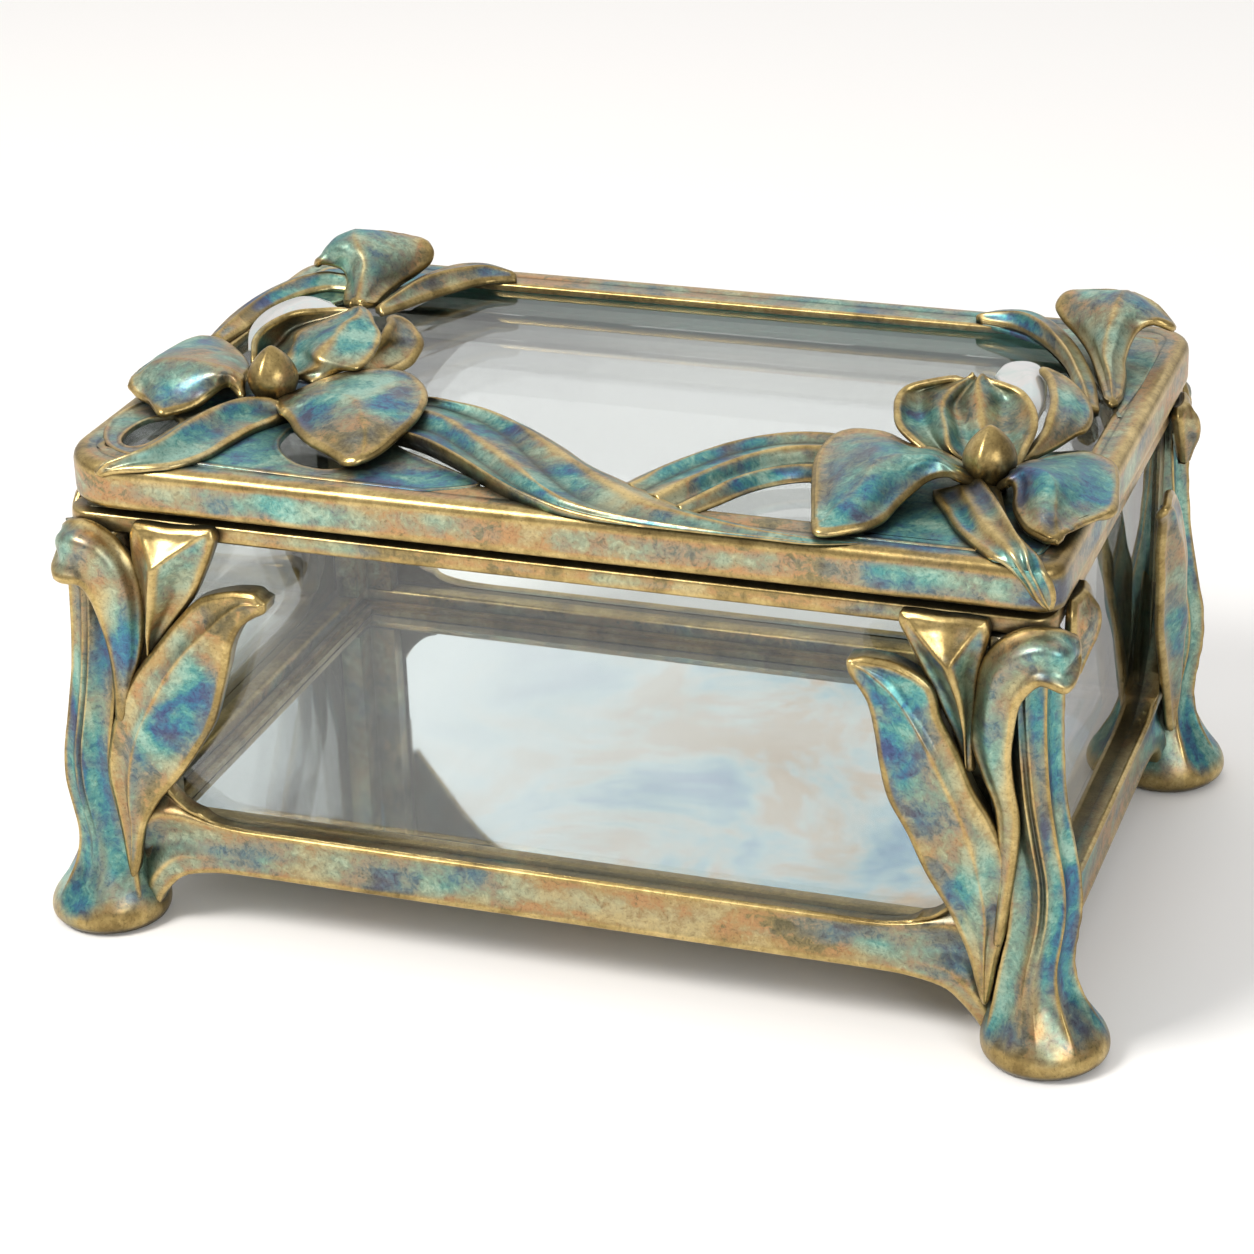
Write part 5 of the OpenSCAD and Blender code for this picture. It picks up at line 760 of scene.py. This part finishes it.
def paint(node, mat, bevel=None):
    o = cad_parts[node]
    if not o.material_slots: o.data.materials.append(mat)
    for s in o.material_slots: s.material = mat
    if bevel:
        b = o.modifiers.new("edge", "BEVEL"); b.width = bevel * MM; b.segments = 3; b.limit_method = "ANGLE"; b.angle_limit = math.radians(35); b.harden_normals = False
    return o

for n_, m_ in (("glass_front", GLY), ("glass_back", GLY), ("glass_left", GLX), ("glass_right", GLX), ("lid_glass", GLZ), ("floor_mirror", MIRROR), ("foot_felts", FELT)): paint(n_, m_)
for n_, m_, b_ in (("floor_plate", GPAT, 0.2), ("mirror_bead", GOLD, 0.3), ("lid_bead", PALE_LIGHT, 0.4), ("case_screws", BRASS, 0.15), ("lid_screws", BRASS, 0.15), ("hinge_pins", BRASS, 0.12),
                   ("hinge_leaves_lower", BRASS, 0.15), ("hinge_leaves_upper", BRASS, 0.15)): paint(n_, m_, b_)
for q in ("front_left", "front_right", "rear_left", "rear_right"): paint("post_" + q, GPAT, 0.35)

# ---------------------------------------------------------------- lid frame
RAD = (14, 4.5, 10, 13)
def lid_ring(s, z, w=0.0, d=0.0, ix=None):
    if ix is None: return (rrect(100 - s, 65 - s, [max(r - s, 0.6) for r in RAD], z), w, d)
    return (rrect(93 + ix, 55 + ix, [2.0 + 0 * r for r in RAD], z), w, d)
# Rings with the wear value 2.0 are inner faces, painted pale: painted light. The dark values darken the underside and
# the inner face, as painted shade, and the groove in the top, as dark patina and painted shade.
lid_rings = [lid_ring(4.35, 93.0, 2.0, 0.0), lid_ring(1.2, 93.0, 0.5, 0.3), lid_ring(0.5, 93.12, 0.9), lid_ring(0.12, 93.5, 1.0), lid_ring(0.0, 94.1, 0.75), lid_ring(0.0, 94.9, 0.2), lid_ring(0.0, 96.4, 0.0), lid_ring(0.0, 98.2, 0.0),
             lid_ring(0.0, 99.3, 0.25), lid_ring(0.02, 100.0, 0.8), lid_ring(0.2, 100.8, 1.0), lid_ring(0.65, 101.45, 1.0), lid_ring(1.3, 101.85, 1.0), lid_ring(2.1, 102.0, 0.6), lid_ring(3.4, 102.0, 0.1),
             lid_ring(4.4, 101.98, 0.1), lid_ring(4.8, 101.78, 0.0, 0.7), lid_ring(5.2, 101.94, 0.2), lid_ring(0, 102.0, 0.15, 0, 1.4), lid_ring(0, 102.0, 0.8, 0, 0.6), lid_ring(0, 101.85, 1.0, 0, 0.15), lid_ring(0, 101.5, 0.9, 0, 0.0), lid_ring(0, 100.42, 0.3, 0.4, 0.0)]
lid_rings.append((rrect(95.6, 60.6, [10.0, 2.0, 8.0, 9.0], 100.42), 2.0, 0.0))
V, Fc, W, D = ring_loft(lid_rings)
lidp = Parts().add(V, Fc, W, D)
lidp.obj("lid_rail", PATF, "lid", ("lid_frame",), slot="patinated_bronze", angle=50)

# ---------------------------------------------------------------- upper rail of the case
def up_ring(s, z, w=0.0, d=0.0): return (rrect(98.5 - s, 63.5 - s, [max(5 - s, 0.8)] * 4, z), w, d)
# Rings with the wear value 2.0 are inner faces, painted pale: painted light. The dark values paint shade on the lip
# that rises under the lid, and a little on the underside edge.
rr = [up_ring(8.0, 87.6, 2.0, 0.0), up_ring(0.7, 87.6, 0.6, 0.2), up_ring(0.2, 87.75, 1.0), up_ring(0.0, 88.2, 0.9), up_ring(0.0, 89.4, 0.35), up_ring(0.0, 90.5, 0.6), up_ring(0.15, 91.0, 1.0), up_ring(0.55, 91.2, 1.0),
      up_ring(2.9, 91.2, 0.1, 0.8), up_ring(3.0, 91.3, 0.0, 1.0), up_ring(3.0, 92.7, 0.0, 0.9), up_ring(8.0, 92.7, 2.0, 0.0)]
V, Fc, W, D = ring_loft(rr)
Parts().add(V, Fc, W, D).obj("case_upper_rail", GPAT, "case", ("upper_rail",), slot="worn_gold_bronze", angle=50)

# ---------------------------------------------------------------- base frame: ring, aprons with fillets and arches
bp_ = Parts()
# The dark values paint shade on the inner face and on the stepped underside of the ring.
ring = [(rrect(97.6, 62.6, [4] * 4, 24.6), 0.5, 0.0), (rrect(90.6, 55.6, [2.0] * 4, 24.6), 1.0, 0.0), (rrect(90.1, 55.1, [1.6] * 4, 24.4), 1.0, 0.0), (rrect(89.6, 54.6, [1.2] * 4, 23.8), 0.5, 0.2), (rrect(89.6, 54.6, [1.2] * 4, 19.65), 0.1, 0.8),
        (rrect(91.3, 56.3, [1.2] * 4, 19.65), 0.0, 1.0), (rrect(91.3, 56.3, [1.2] * 4, 16.4), 0, 1), (rrect(94.6, 59.6, [1.2] * 4, 16.4), 0, 1), (rrect(94.6, 59.6, [1.2] * 4, 15.0), 0.2, 0.6), (rrect(97.6, 62.6, [4] * 4, 15.0), 0.4, 0.3)]
bp_.add(*ring_loft(ring))
def rail_side(hl, place):
    """One side of the bottom rail as a single cast band, with its two leaf ridges at each end."""
    k = hl - 91.5
    ends = [[(p[0] + k, p[1], p[2]) for p in r] for r in RAIL_END]
    mid = [[(p[0] * t, p[1], p[2]) for p in ends[-1]] for t in ((0.87, 0.7, 0.45, 0.15) if hl > 80 else (0.7, 0.25))]
    ends = ends + mid
    rows = ends + [[(-p[0], p[1], p[2]) for p in r] for r in ends[::-1]]
    return [[place(*p) for p in r] for r in rows]
fade = lambda u: np.clip((np.abs(u - 0.5) * 2 - 0.45) / 0.4, 0, 1)
railkw = dict(r=0.7, n=6, m=7, bead=0.2, bead_w=0.6, wear_w=0.6, halo=0.35, ribs=[(0.4, lambda u: 0.35 * fade(u), 0.035, lambda u: 0.95 * fade(u)), (0.8, lambda u: 0.3 * fade(u), 0.035, lambda u: 0.95 * fade(u))])
for s in (-1, 1):
    bp_.add(*shell(rail_side(91.5, lambda h, z, o, s=s: [h, s * (63.5 + o), z]), (0, s, 0), drop=(0, -s, 0), floor=-60.4, **railkw))
    bp_.add(*shell(rail_side(56.5, lambda h, z, o, s=s: [s * (98.5 + o), h, z]), (s, 0, 0), drop=(-s, 0, 0), floor=-95.4, **railkw))
bp_.obj("case_base_rail", PATF, "case", ("base_frame",), slot="patinated_bronze", angle=60)

# ---------------------------------------------------------------- legs
# ridges round a column, in degrees from +X at the front right corner; narrow pairs hold a dark crease between them
RIDGES = [-139, -91, -78, -46, 2, 49]
def leg_parts():
    Z = spline(np.array(LEG), 6); nth = 200
    th = np.linspace(-math.pi, math.pi, nth, endpoint=False); V, W, D, Fc = [], [], [], []
    deg = np.degrees(th)
    for z, cx, cy, R in Z:
        sway = 9 * math.sin((z - 22) / 19.0)
        rd = np.array(RIDGES, float); rd = rd + sway * np.array([1, 1, 1, 0.2, -1, -1])
        amp = np.interp(z, [0, 5.5, 9, 14, 22, 36, 60, 78, 87], [0, 0, 0.7, 1.3, 1.35, 1.7, 1.7, 1.5, 1.2])
        cut_ = np.interp(z, [0, 20, 34, 60, 74, 88], [0.12, 0.2, 1, 1, 0.4, 0.2])
        r = np.full(nth, R); w = np.zeros(nth); dk = np.zeros(nth)
        for q in range(len(rd) - 1):
            a0, a1 = rd[q], rd[q + 1]; t = (deg - a0) / (a1 - a0); m_ = (t >= 0) & (t <= 1)
            narrow = RIDGES[q + 1] - RIDGES[q] < 20
            # creases between narrow pairs are darkened, and the middle of each wide valley a little: dark patina and
            # painted shade
            if narrow:
                prof = (1 - np.abs(2 * t - 1)) ** 0.8 * 0.85 * cut_ * min(1, amp); r = np.where(m_, R - prof - 0.15 * amp, r); dk = np.where(m_, (1 - np.abs(2 * t - 1)) ** 2 * cut_ * 1.2, dk)
            else:
                soft = min(1.0, (a1 - a0 - 12) / 34.0); prof = np.sin(np.pi * np.clip(t, 0, 1)) ** 0.9 * amp * soft; end0 = 0.15 * amp * (1 - t) if RIDGES[q] == -78 else 0; end1 = 0.15 * amp * t if RIDGES[q + 1] == -91 else 0
                r = np.where(m_, R - prof - end0 - end1, r); dk = np.where(m_, np.sin(np.pi * np.clip(t, 0, 1)) ** 6 * 0.08, dk)
        for q, a0 in enumerate(rd):
            main = RIDGES[q] in (-139, -46, 2, 49); k_ = np.exp(-((deg - a0) / (3.6 if main else 2.4)) ** 2); am = min(1, amp)
            r = r + (0.35 if main else 0.12) * am * k_
            w = np.maximum(w, k_ * am * (1.0 if main else 0.75 * cut_)); w = np.maximum(w, 0.34 * am * np.exp(-((deg - a0) / 13.0) ** 2))
        # painted shade: the side of the column away from its ridges, towards the inside of the case, is darkened
        out_ = (deg < rd[0] - 6) | (deg > rd[-1] + 6); dk = np.where(out_, 0.3, dk)
        foot = np.interp(z, [0, 3.4, 6, 9], [1, 1, 0.45, 0.0]); w = np.maximum(w, foot)
        V += [(cx + r[i] * math.cos(th[i]), cy + r[i] * math.sin(th[i]), z) for i in range(nth)]
        W += list(np.clip(w, 0, 1)); D += list(np.clip(dk, 0, 1))
    n = len(Z)
    for i in range(n - 1): Fc += [(i * nth + j, i * nth + (j + 1) % nth, (i + 1) * nth + (j + 1) % nth, (i + 1) * nth + j) for j in range(nth)]
    Fc += [tuple(range(nth - 1, -1, -1)), tuple((n - 1) * nth + j for j in range(nth))]
    return Parts().add(V, Fc, W, D)
base_leg = leg_parts()
def scoop(u, v, D): return -0.9 * np.exp(-((v - 0.74) / 0.13) ** 2) * np.clip((u - 0.35) / 0.25, 0, 1) + 0.25 * np.exp(-((v - 0.4) / 0.16) ** 2)
hoodkw = dict(r=0.85, n=6, m=9, bead=0.34, bead_w=0.7, wear_w=0.65, halo=0.45, disp=scoop, ends=(0, 0.1))
hood_fr = Parts().add(*shell(HOOD_R, (0.3, -1, 0.5), **hoodkw)); hood_fl = Parts().add(*shell(HOOD_L, (-0.3, -1, 0.5), **hoodkw))
CORN = {"front_right": (1, 1), "front_left": (-1, 1), "rear_right": (1, -1), "rear_left": (-1, -1)}
for q, (sx, sy) in CORN.items():
    base_leg.mirrored(sx, sy).obj("leg_column_" + q, PATV, "case", ("leg_" + q,), slot="patinated_bronze")
    rear = [[[93 + (p[0] - 93) * 0.62, -63.6 + (p[1] + 63.6) * 0.6, p[2]] for p in r] for r in HOOD_R]
    (hood_fl if q == "front_left" else hood_fr if q == "front_right" else Parts().add(*shell(rear, (0.3, -1, 0.5), **hoodkw)).mirrored(sx, sy)).obj("leg_hood_" + q, PATV, "case", ("hood_" + q,), slot="patinated_bronze")
def cupped(u, v, D): return -0.25 * np.exp(-((v - 0.27) / 0.14) ** 2) - 0.5 * np.exp(-((v - 0.68) / 0.12) ** 2) + 0.2 * np.exp(-((v - 0.5) / 0.08) ** 2)
leafkw = dict(r=0.9, n=8, m=16, bead=0.28, bead_w=0.65, wear_w=0.6, halo=0.42, ribs=[(0.53, 0.2, 0.028, 0.55)], disp=cupped, ends=(0.04, 0.09), wearf=lambda u, v, D: 0.6 * np.clip((u - 0.86) / 0.12, 0, 1))
Parts().add(*shell(round_root(round_tip(F_leaf_l)), (0, -1, 0), drop=(0, 1, 0), floor=-64.2, **leafkw)).obj("leaf_fl", PAT, "case", ("leaf_front_left",), slot="patinated_bronze")
Parts().add(*shell(round_root(round_tip(F_leaf_r)), (0, -1, 0), drop=(0, 1, 0), floor=-64.2, **leafkw)).obj("leaf_fr", PATL, "case", ("leaf_front_right",), slot="patinated_bronze")
Parts().add(*shell(S_leaf, (1, 0, 0), **leafkw)).obj("leaf_sr", PAT, "case", ("leaf_side_right",), slot="patinated_bronze")
Parts().add(*shell([[[-p[0], p[1], p[2]] for p in r] for r in S_leaf], (-1, 0, 0), **leafkw)).obj("leaf_sl", PAT, "case", ("leaf_side_left",), slot="patinated_bronze")
def split(u): return 0.0 + np.clip((u - 0.66) / 0.34, 0, 1) * 0.46
fold_l = (lambda u: 0.5 - split(u), 0.35, 0.05, 0.9); fold_r = (lambda u: 0.5 + split(u), 0.35, 0.05, 0.9)
budkw = dict(r=0.8, n=9, m=8, bead=0.25, bead_w=0.7, wear_w=0.7, halo=0.35, ribs=[fold_l, fold_r], wearf=lambda u, v, D: 0.75 * np.clip((u - 0.66) / 0.12, 0, 1) * np.clip(1.2 - np.abs(v - 0.5) / np.maximum(split(u) + 0.04, 0.05), 0, 1))
budkw2 = dict(r=0.8, n=8, m=12, bead=0.3, bead_w=0.8, ribs=[(0.5, 0.4, 0.05, 0.9)])
def mir(rows, sx, sy): return [[[p[0] * sx, p[1] * sy, p[2]] for p in r] for r in rows]
def buds(name, front, fdrop, ffl, side_s, node):
    P = Parts(); P.add(*shell(front, fdrop[0], drop=fdrop[1], floor=ffl, **(budkw if "f" == name[5] else budkw2)))
    P.add(*shell(mir(SIDE_BUD, side_s[0], side_s[1]), (side_s[0], 0, 0), drop=(-side_s[0], 0, 0), floor=-99.0, **budkw2))
    P.obj(name, PATG, "case", (node,), slot="worn_gold_bronze")
buds("buds_fl", BUD_L, ((0, -1, 0), (0, 1, 0)), -64.0, (-1, 1), "buds_front_left")
buds("buds_fr", BUD_R, ((0, -1, 0), (0, 1, 0)), -64.0, (1, 1), "buds_front_right")
buds("buds_rl", mir(B_bud, -1, 1), ((0, 1, 0), (0, -1, 0)), -64.0, (-1, -1), "buds_rear_left")
buds("buds_rr", B_bud, ((0, 1, 0), (0, -1, 0)), -64.0, (1, -1), "buds_rear_right")

# ---------------------------------------------------------------- lid ornament
fallkw = dict(r=0.8, n=8, m=18, bead=0.32, bead_w=0.7, wear_w=0.6, halo=0.42, ribs=[(0.5, 0.25, 0.03, 0.3)], ends=(0, 0.08))
Parts().add(*shell(L_outer_fall, (0, 0, 1), **fallkw)).obj("fall_lo", PAT, "lid", ("iris_left_outer_fall",), slot="patinated_bronze")
Parts().add(*shell(FALL_LI, (0, 0, 1), **fallkw)).obj("fall_li", PAT, "lid", ("iris_left_inner_fall",), slot="patinated_bronze")
Parts().add(*shell(R_outer_fall, (0, 0, 1), **fallkw)).obj("fall_ro", PATB, "lid", ("iris_right_outer_fall",), slot="patinated_bronze")
Parts().add(*shell(R_inner_fall, (0, 0, 1), **fallkw)).obj("fall_ri", PAT, "lid", ("iris_right_inner_fall",), slot="patinated_bronze")
stdkw = dict(r=0.6, n=8, m=9, bead=0.15, bead_w=0.5, wear_w=0.45, halo=0.42, rim_wear=0.8, ends=(0, 0.1))
Parts().add(*shell(L_standard, (0, 0, 1), ribs=[(0.5, 0.35, 0.04, 0.75), (0.75, 0.4, 0.04, 0.9), (0.62, -0.4, 0.04, -0.4), (0.25, -0.4, 0.06, -0.3)], **stdkw)).obj("standard_l", PATS, "lid", ("iris_left_standard",), slot="patinated_bronze")
Parts().add(*shell([[[p[0], p[1], p[2] + (0.5 if j % 2 and i < 5 else 0)] for j, p in enumerate(r)] for i, r in enumerate(R_standard_fine)], (0, 0, 1), ribs=[(0.333, 0.25, 0.03, 0.7), (0.667, 0.3, 0.03, 0.8), (0.5, 0.1, 0.02, 0.3)], **stdkw)).obj("standard_r", PATS, "lid", ("iris_right_standard",), slot="patinated_bronze")
Parts().add(*shell(L_side, (0, 0, 1), r=0.75, n=8, m=10, bead=0.3, ends=(0, 0.12))).obj("side_l", PAT, "lid", ("iris_left_side_petal",), slot="patinated_bronze")
Parts().add(*shell(R_side, (0, 0, 1), r=0.75, n=8, m=10, bead=0.3, ends=(0, 0.12))).obj("side_r", PAT, "lid", ("iris_right_side_petal",), slot="patinated_bronze")
Parts().add(*shell(L_pearl, (0, 0, 1), r=0.5, n=10, m=12, bead=0.0)).obj("pearl_l", PEARL, "lid", ("iris_left_pearl",), slot="pearl_inlay")
Parts().add(*shell(R_pearl, (0, 0, 1), r=0.5, n=10, m=12, bead=0.0)).obj("pearl_r", PEARL, "lid", ("iris_right_pearl",), slot="pearl_inlay")
spk = dict(r=0.6, n=8, m=7, bead=0.15, bead_w=0.6, wear_w=0.7, halo=0.35, drop=(0, 0, -1), floor=-102.0, ribs=[(0.5, 0.6, 0.07, 1.0), (0.24, -0.35, 0.1, -0.35), (0.76, -0.35, 0.1, -0.35)])
Parts().add(*shell(SPEAR_L, (0, -0.3, 1), **spk)).obj("spears_l", PATG, "lid", ("iris_left_spear",), slot="worn_gold_bronze")
spr = dict(spk, r=0.5, ribs=[(0.33, 0.55, 0.05, 0.95), (0.42, -0.45, 0.05, -0.6), (0.52, 0.5, 0.06, 0.8), (0.16, -0.35, 0.1, 0), (0.8, -0.3, 0.1, -0.3)])
Parts().add(*shell(SPEAR_R, (0, -0.6, 1), **spr)).obj("spears_r", PATB, "lid", ("iris_right_spear",), slot="worn_gold_bronze")

def egg(cx, cy, name, node):
    prof = spline(np.array([[0, 102.0], [3.0, 102.0], [3.4, 103.2], [3.8, 104.2], [4.5, 105.6], [5.0, 107], [5.1, 108.2], [4.75, 109.8], [3.9, 111.4], [2.75, 112.8], [1.6, 113.9], [0.6, 114.6], [0.0, 114.8]]), 4)
    nt_ = 72; V = []; Fc = []
    for r_, z_ in prof:
        for k in range(nt_):
            a_ = 2 * math.pi * k / nt_; q_ = 0.35 * math.exp(-((math.degrees(a_) - 262) / 13.0) ** 2) * min(1, r_ / 3.0) * max(0.0, min(1, (z_ - 106) / 3))
            V.append((cx + (r_ + q_) * math.cos(a_), cy + (r_ + q_) * math.sin(a_), z_))
    for i in range(len(prof) - 1): Fc += [(i * nt_ + j, i * nt_ + (j + 1) % nt_, (i + 1) * nt_ + (j + 1) % nt_, (i + 1) * nt_ + j) for j in range(nt_)]
    # the front of the bud is painted brighter gold and its sides greener and darker: partly a rubbed ridge, partly
    # painted shade at its sides
    W = [min(1.0, 0.42 + 0.5 * math.exp(-(math.hypot(v[0] - cx - 0.4, v[1] - cy + 3.2) / 3.2) ** 2) * (v[2] > 105)) for v in V]
    Parts().add(V, Fc, W, [0.0] * len(V)).obj(name, EGG, "lid", (node,), slot="worn_gold_bronze")
egg(-69, -26.5, "bud_l", "iris_left_bud"); egg(79, -32, "bud_r", "iris_right_bud")

Parts().add(*strands(LS, kinds="ergrgr")).obj("stems_l", PAT, "lid", ("stems_left",), slot="patinated_bronze")
Parts().add(*strands(RS, kinds="ergrgre")).obj("stems_r", PAT, "lid", ("stems_right",), slot="patinated_bronze")
lilykw = dict(r=0.85, n=9, m=10, bead=0.32, bead_w=0.7, wear_w=0.65, halo=0.42, ribs=[(0.5, 0.35, 0.05, 0.5), (0.25, -0.4, 0.12, 0), (0.75, -0.4, 0.12, 0)], ends=(0.05, 0.16))
Parts().add(*shell(L_lily, (0, 0, 1), **lilykw)).obj("lily_l", PAT, "lid", ("lily_left",), slot="patinated_bronze")
Parts().add(*shell(R_lily, (0, 0, 1), **lilykw)).obj("lily_r", PAT, "lid", ("lily_right",), slot="patinated_bronze")
stk = dict(r=0.6, n=8, m=8, bead=0.2, bead_w=0.6, drop=(0, 0, -1), floor=-102.0, ribs=[(0.5, 0.4, 0.08, 0.9)])
Parts().add(*shell(L_stem_side, (0, 0, 1), **stk)).add(*shell(L_stem_back, (0, 0, 1), **stk)).obj("lily_stems_l", PAT, "lid", ("lily_stems_left",), slot="patinated_bronze")
Parts().add(*shell(R_stem_back, (0, 0, 1), **stk)).obj("lily_stems_r", PAT, "lid", ("lily_stems_right",), slot="patinated_bronze")

# the dark values darken the outer edge and a groove inside the rim: dark patina and painted shade
webprof = [(0.0, 101.98, 0.3, 0.2), (0.1, 102.12, 0.5, 0), (0.35, 102.22, 0.6, 0), (0.7, 102.18, 0.35, 0), (1.1, 102.04, 0.15, 0.5), (1.7, 102.05, 0.05, 0.1), (2.6, 102.06, 0.0, 0)]
spanprof = [(0.0, 101.9, 0.2, 0.2), (0.3, 102.1, 0.35, 0), (1.0, 102.12, 0.1, 0)]
flat = lambda a, b, h: (a, b, h)
wl = spline(np.array([[-23.3, -60.6], [-16, -57], [-14, -54], [-20, -50], [-28, -45.6], [-35, -41.6], [-40, -37], [-44, -30], [-49, -24], [-55, -18.5], [-62, -14], [-70, -12], [-78, -13], [-86, -17.5], [-93, -25], [-97.2, -34], [-97.9, -41], [-96.2, -48.5], [-91.6, -55.2], [-84, -58.6], [-70, -59.3], [-48, -60.2]]), 5)
hole = spline(np.array([[-60.6, -38], [-58, -35.4], [-53, -38], [-49, -42.5], [-44.6, -46], [-41.5, -49.5], [-42, -53], [-46, -55.4], [-52, -54], [-57, -49.5], [-60, -44], [-60.6, -38]]), 4)[:-1]
hole2 = spline(np.array([[-86.5, -37], [-83.6, -40], [-84.2, -46], [-85, -52], [-87.6, -54.2], [-90.6, -51.6], [-91.6, -46], [-90.4, -40], [-86.5, -37]]), 4)[:-1]
Parts().add(*plate(dense(wl, 3), webprof, flat, holes=[dense(hole, 1), dense(hole2, 1)], back=101.1)).obj("corner_web_l", PATB, "lid", ("web_left",), slot="patinated_bronze", angle=60)
wr = spline(np.array([[58, -60.6], [61.6, -55], [63.4, -49], [63.8, -43.5], [60, -39.5], [53, -37.5], [47, -37], [44, -33], [45.6, -27], [51, -20.6], [59, -17.2], [68, -14.4], [77, -12.6], [86, -11], [93.6, -9], [95.6, -20], [96, -40], [95.4, -56.4], [92.6, -60.2], [80, -60.8], [68, -60.8]]), 5)
Parts().add(*plate(dense(wr, 3), webprof, flat, back=101.1)).obj("corner_web_r", PAT, "lid", ("web_right",), slot="patinated_bronze", angle=60)
spl = Parts(); sp = spline(np.array([[94.6, 9], [91.4, 17], [87, 26], [81, 36.4], [73.4, 45.6], [64, 52.2], [55, 56.6]]), 6)
sp = np.array([tuple(p) for p in sp] + [(70, 57.2), (86, 57.2), (93, 55), (95.4, 48), (95.6, 30)])
q = plate(dense(sp, 3), spanprof, flat, back=101.1)
spl.add(*q); z2 = Parts().add(*q).mirrored(-1, 1); spl.add(z2.V, z2.F, z2.W, z2.D)
spl.obj("lid_spandrels", PAT, "lid", slot="patinated_bronze", angle=60)

# ---------------------------------------------------------------- floor, light, camera
fl = bpy.data.meshes.new("studio_floor"); fl.from_pydata([(-6, -4, 0), (6, -4, 0), (6, 12, 0), (-6, 12, 0)], [], [(0, 1, 2, 3)])
flo = bpy.data.objects.new("studio_floor", fl); bpy.context.scene.collection.objects.link(flo)
m, nt, nodes, links = new_mat("studio_floor"); p = N_(nt, "ShaderNodeBsdfPrincipled"); out = N_(nt, "ShaderNodeOutputMaterial")
p.inputs["Base Color"].default_value = (0.95, 0.928, 0.905, 1); p.inputs["Roughness"].default_value = 0.9; links.new(p.outputs[0], out.inputs[0]); fl.materials.append(m)
w = bpy.data.worlds.new("studio"); bpy.context.scene.world = w; w.use_nodes = True; nt = w.node_tree; nt.nodes.clear()
tc = N_(nt, "ShaderNodeTexCoord"); sx = N_(nt, "ShaderNodeSeparateXYZ"); nt.links.new(tc.outputs["Generated"], sx.inputs[0])
up_ = ramp(nt, [(0.0, g(0.62)), (0.10, g(0.66)), (0.45, g(0.92)), (1.0, g(1.0))], sx.outputs[2])
side_ = ramp(nt, [(0.0, g(0.80)), (0.35, g(1.0)), (0.60, g(0.92)), (0.85, g(0.52)), (1.0, g(0.50))], math_(nt, "ADD", math_(nt, "MULTIPLY", sx.outputs[0], 0.5), 0.5))
front_ = ramp(nt, [(0.0, g(0.50)), (0.25, g(0.64)), (0.5, g(0.95)), (1.0, g(1.05))], math_(nt, "ADD", math_(nt, "MULTIPLY", sx.outputs[1], 0.5), 0.5))
sky = mix(nt, mix(nt, up_, side_, 1.0, "MULTIPLY"), front_, 1.0, "MULTIPLY")
bg = N_(nt, "ShaderNodeBackground", inputs={"Strength": 1.0}); wo = N_(nt, "ShaderNodeOutputWorld"); nt.links.new(sky, bg.inputs[0]); nt.links.new(bg.outputs[0], wo.inputs[0])
def area(name, loc, target, size, power, col=(1, 1, 1), size_y=None):
    l = bpy.data.lights.new(name, "AREA"); l.energy = power; l.size = size; l.color = col
    if size_y: l.shape = "RECTANGLE"; l.size_y = size_y
    o = bpy.data.objects.new(name, l); o.location = loc; o.rotation_mode = "QUATERNION"
    o.rotation_quaternion = (Vector(target) - Vector(loc)).to_track_quat("-Z", "Y"); bpy.context.scene.collection.objects.link(o)
area("key", (-0.50, -0.60, 0.85), (0, 0, 0.05), 0.36, 10.2, (1.0, 0.985, 0.96))
area("fill", (0.75, -0.75, 0.55), (0, 0, 0.05), 0.5, 4.8, (0.96, 0.98, 1.0))
area("back", (0.0, 1.8, 1.6), (0, 0, 0.08), 3.0, 7.5)

az, el, roll = math.radians(19.846), math.radians(24.741), math.radians(-1.829)
back = Vector((math.sin(az) * math.cos(el), -math.cos(az) * math.cos(el), math.sin(el)))
tgt = Vector((-5.024, 0, 49.132)) * MM
right = (-back).cross(Vector((0, 0, 1))).normalized(); up = right.cross(-back)
Rv = right * math.cos(roll) + up * math.sin(roll); Uv = -right * math.sin(roll) + up * math.cos(roll)
cd = bpy.data.cameras.new("photo_view"); cd.sensor_width = 36; cd.lens = 3400 / 1254 * 36; cd.clip_start = 0.02; cd.clip_end = 50
cam = bpy.data.objects.new("photo_view", cd); bpy.context.scene.collection.objects.link(cam)
cam.matrix_world = Matrix(((Rv.x, Uv.x, back.x, 0), (Rv.y, Uv.y, back.y, 0), (Rv.z, Uv.z, back.z, 0), (0, 0, 0, 1)))
cam.location = tgt + back * 0.707608
bpy.context.scene.camera = cam
bpy.context.scene.view_settings.view_transform = "Standard"
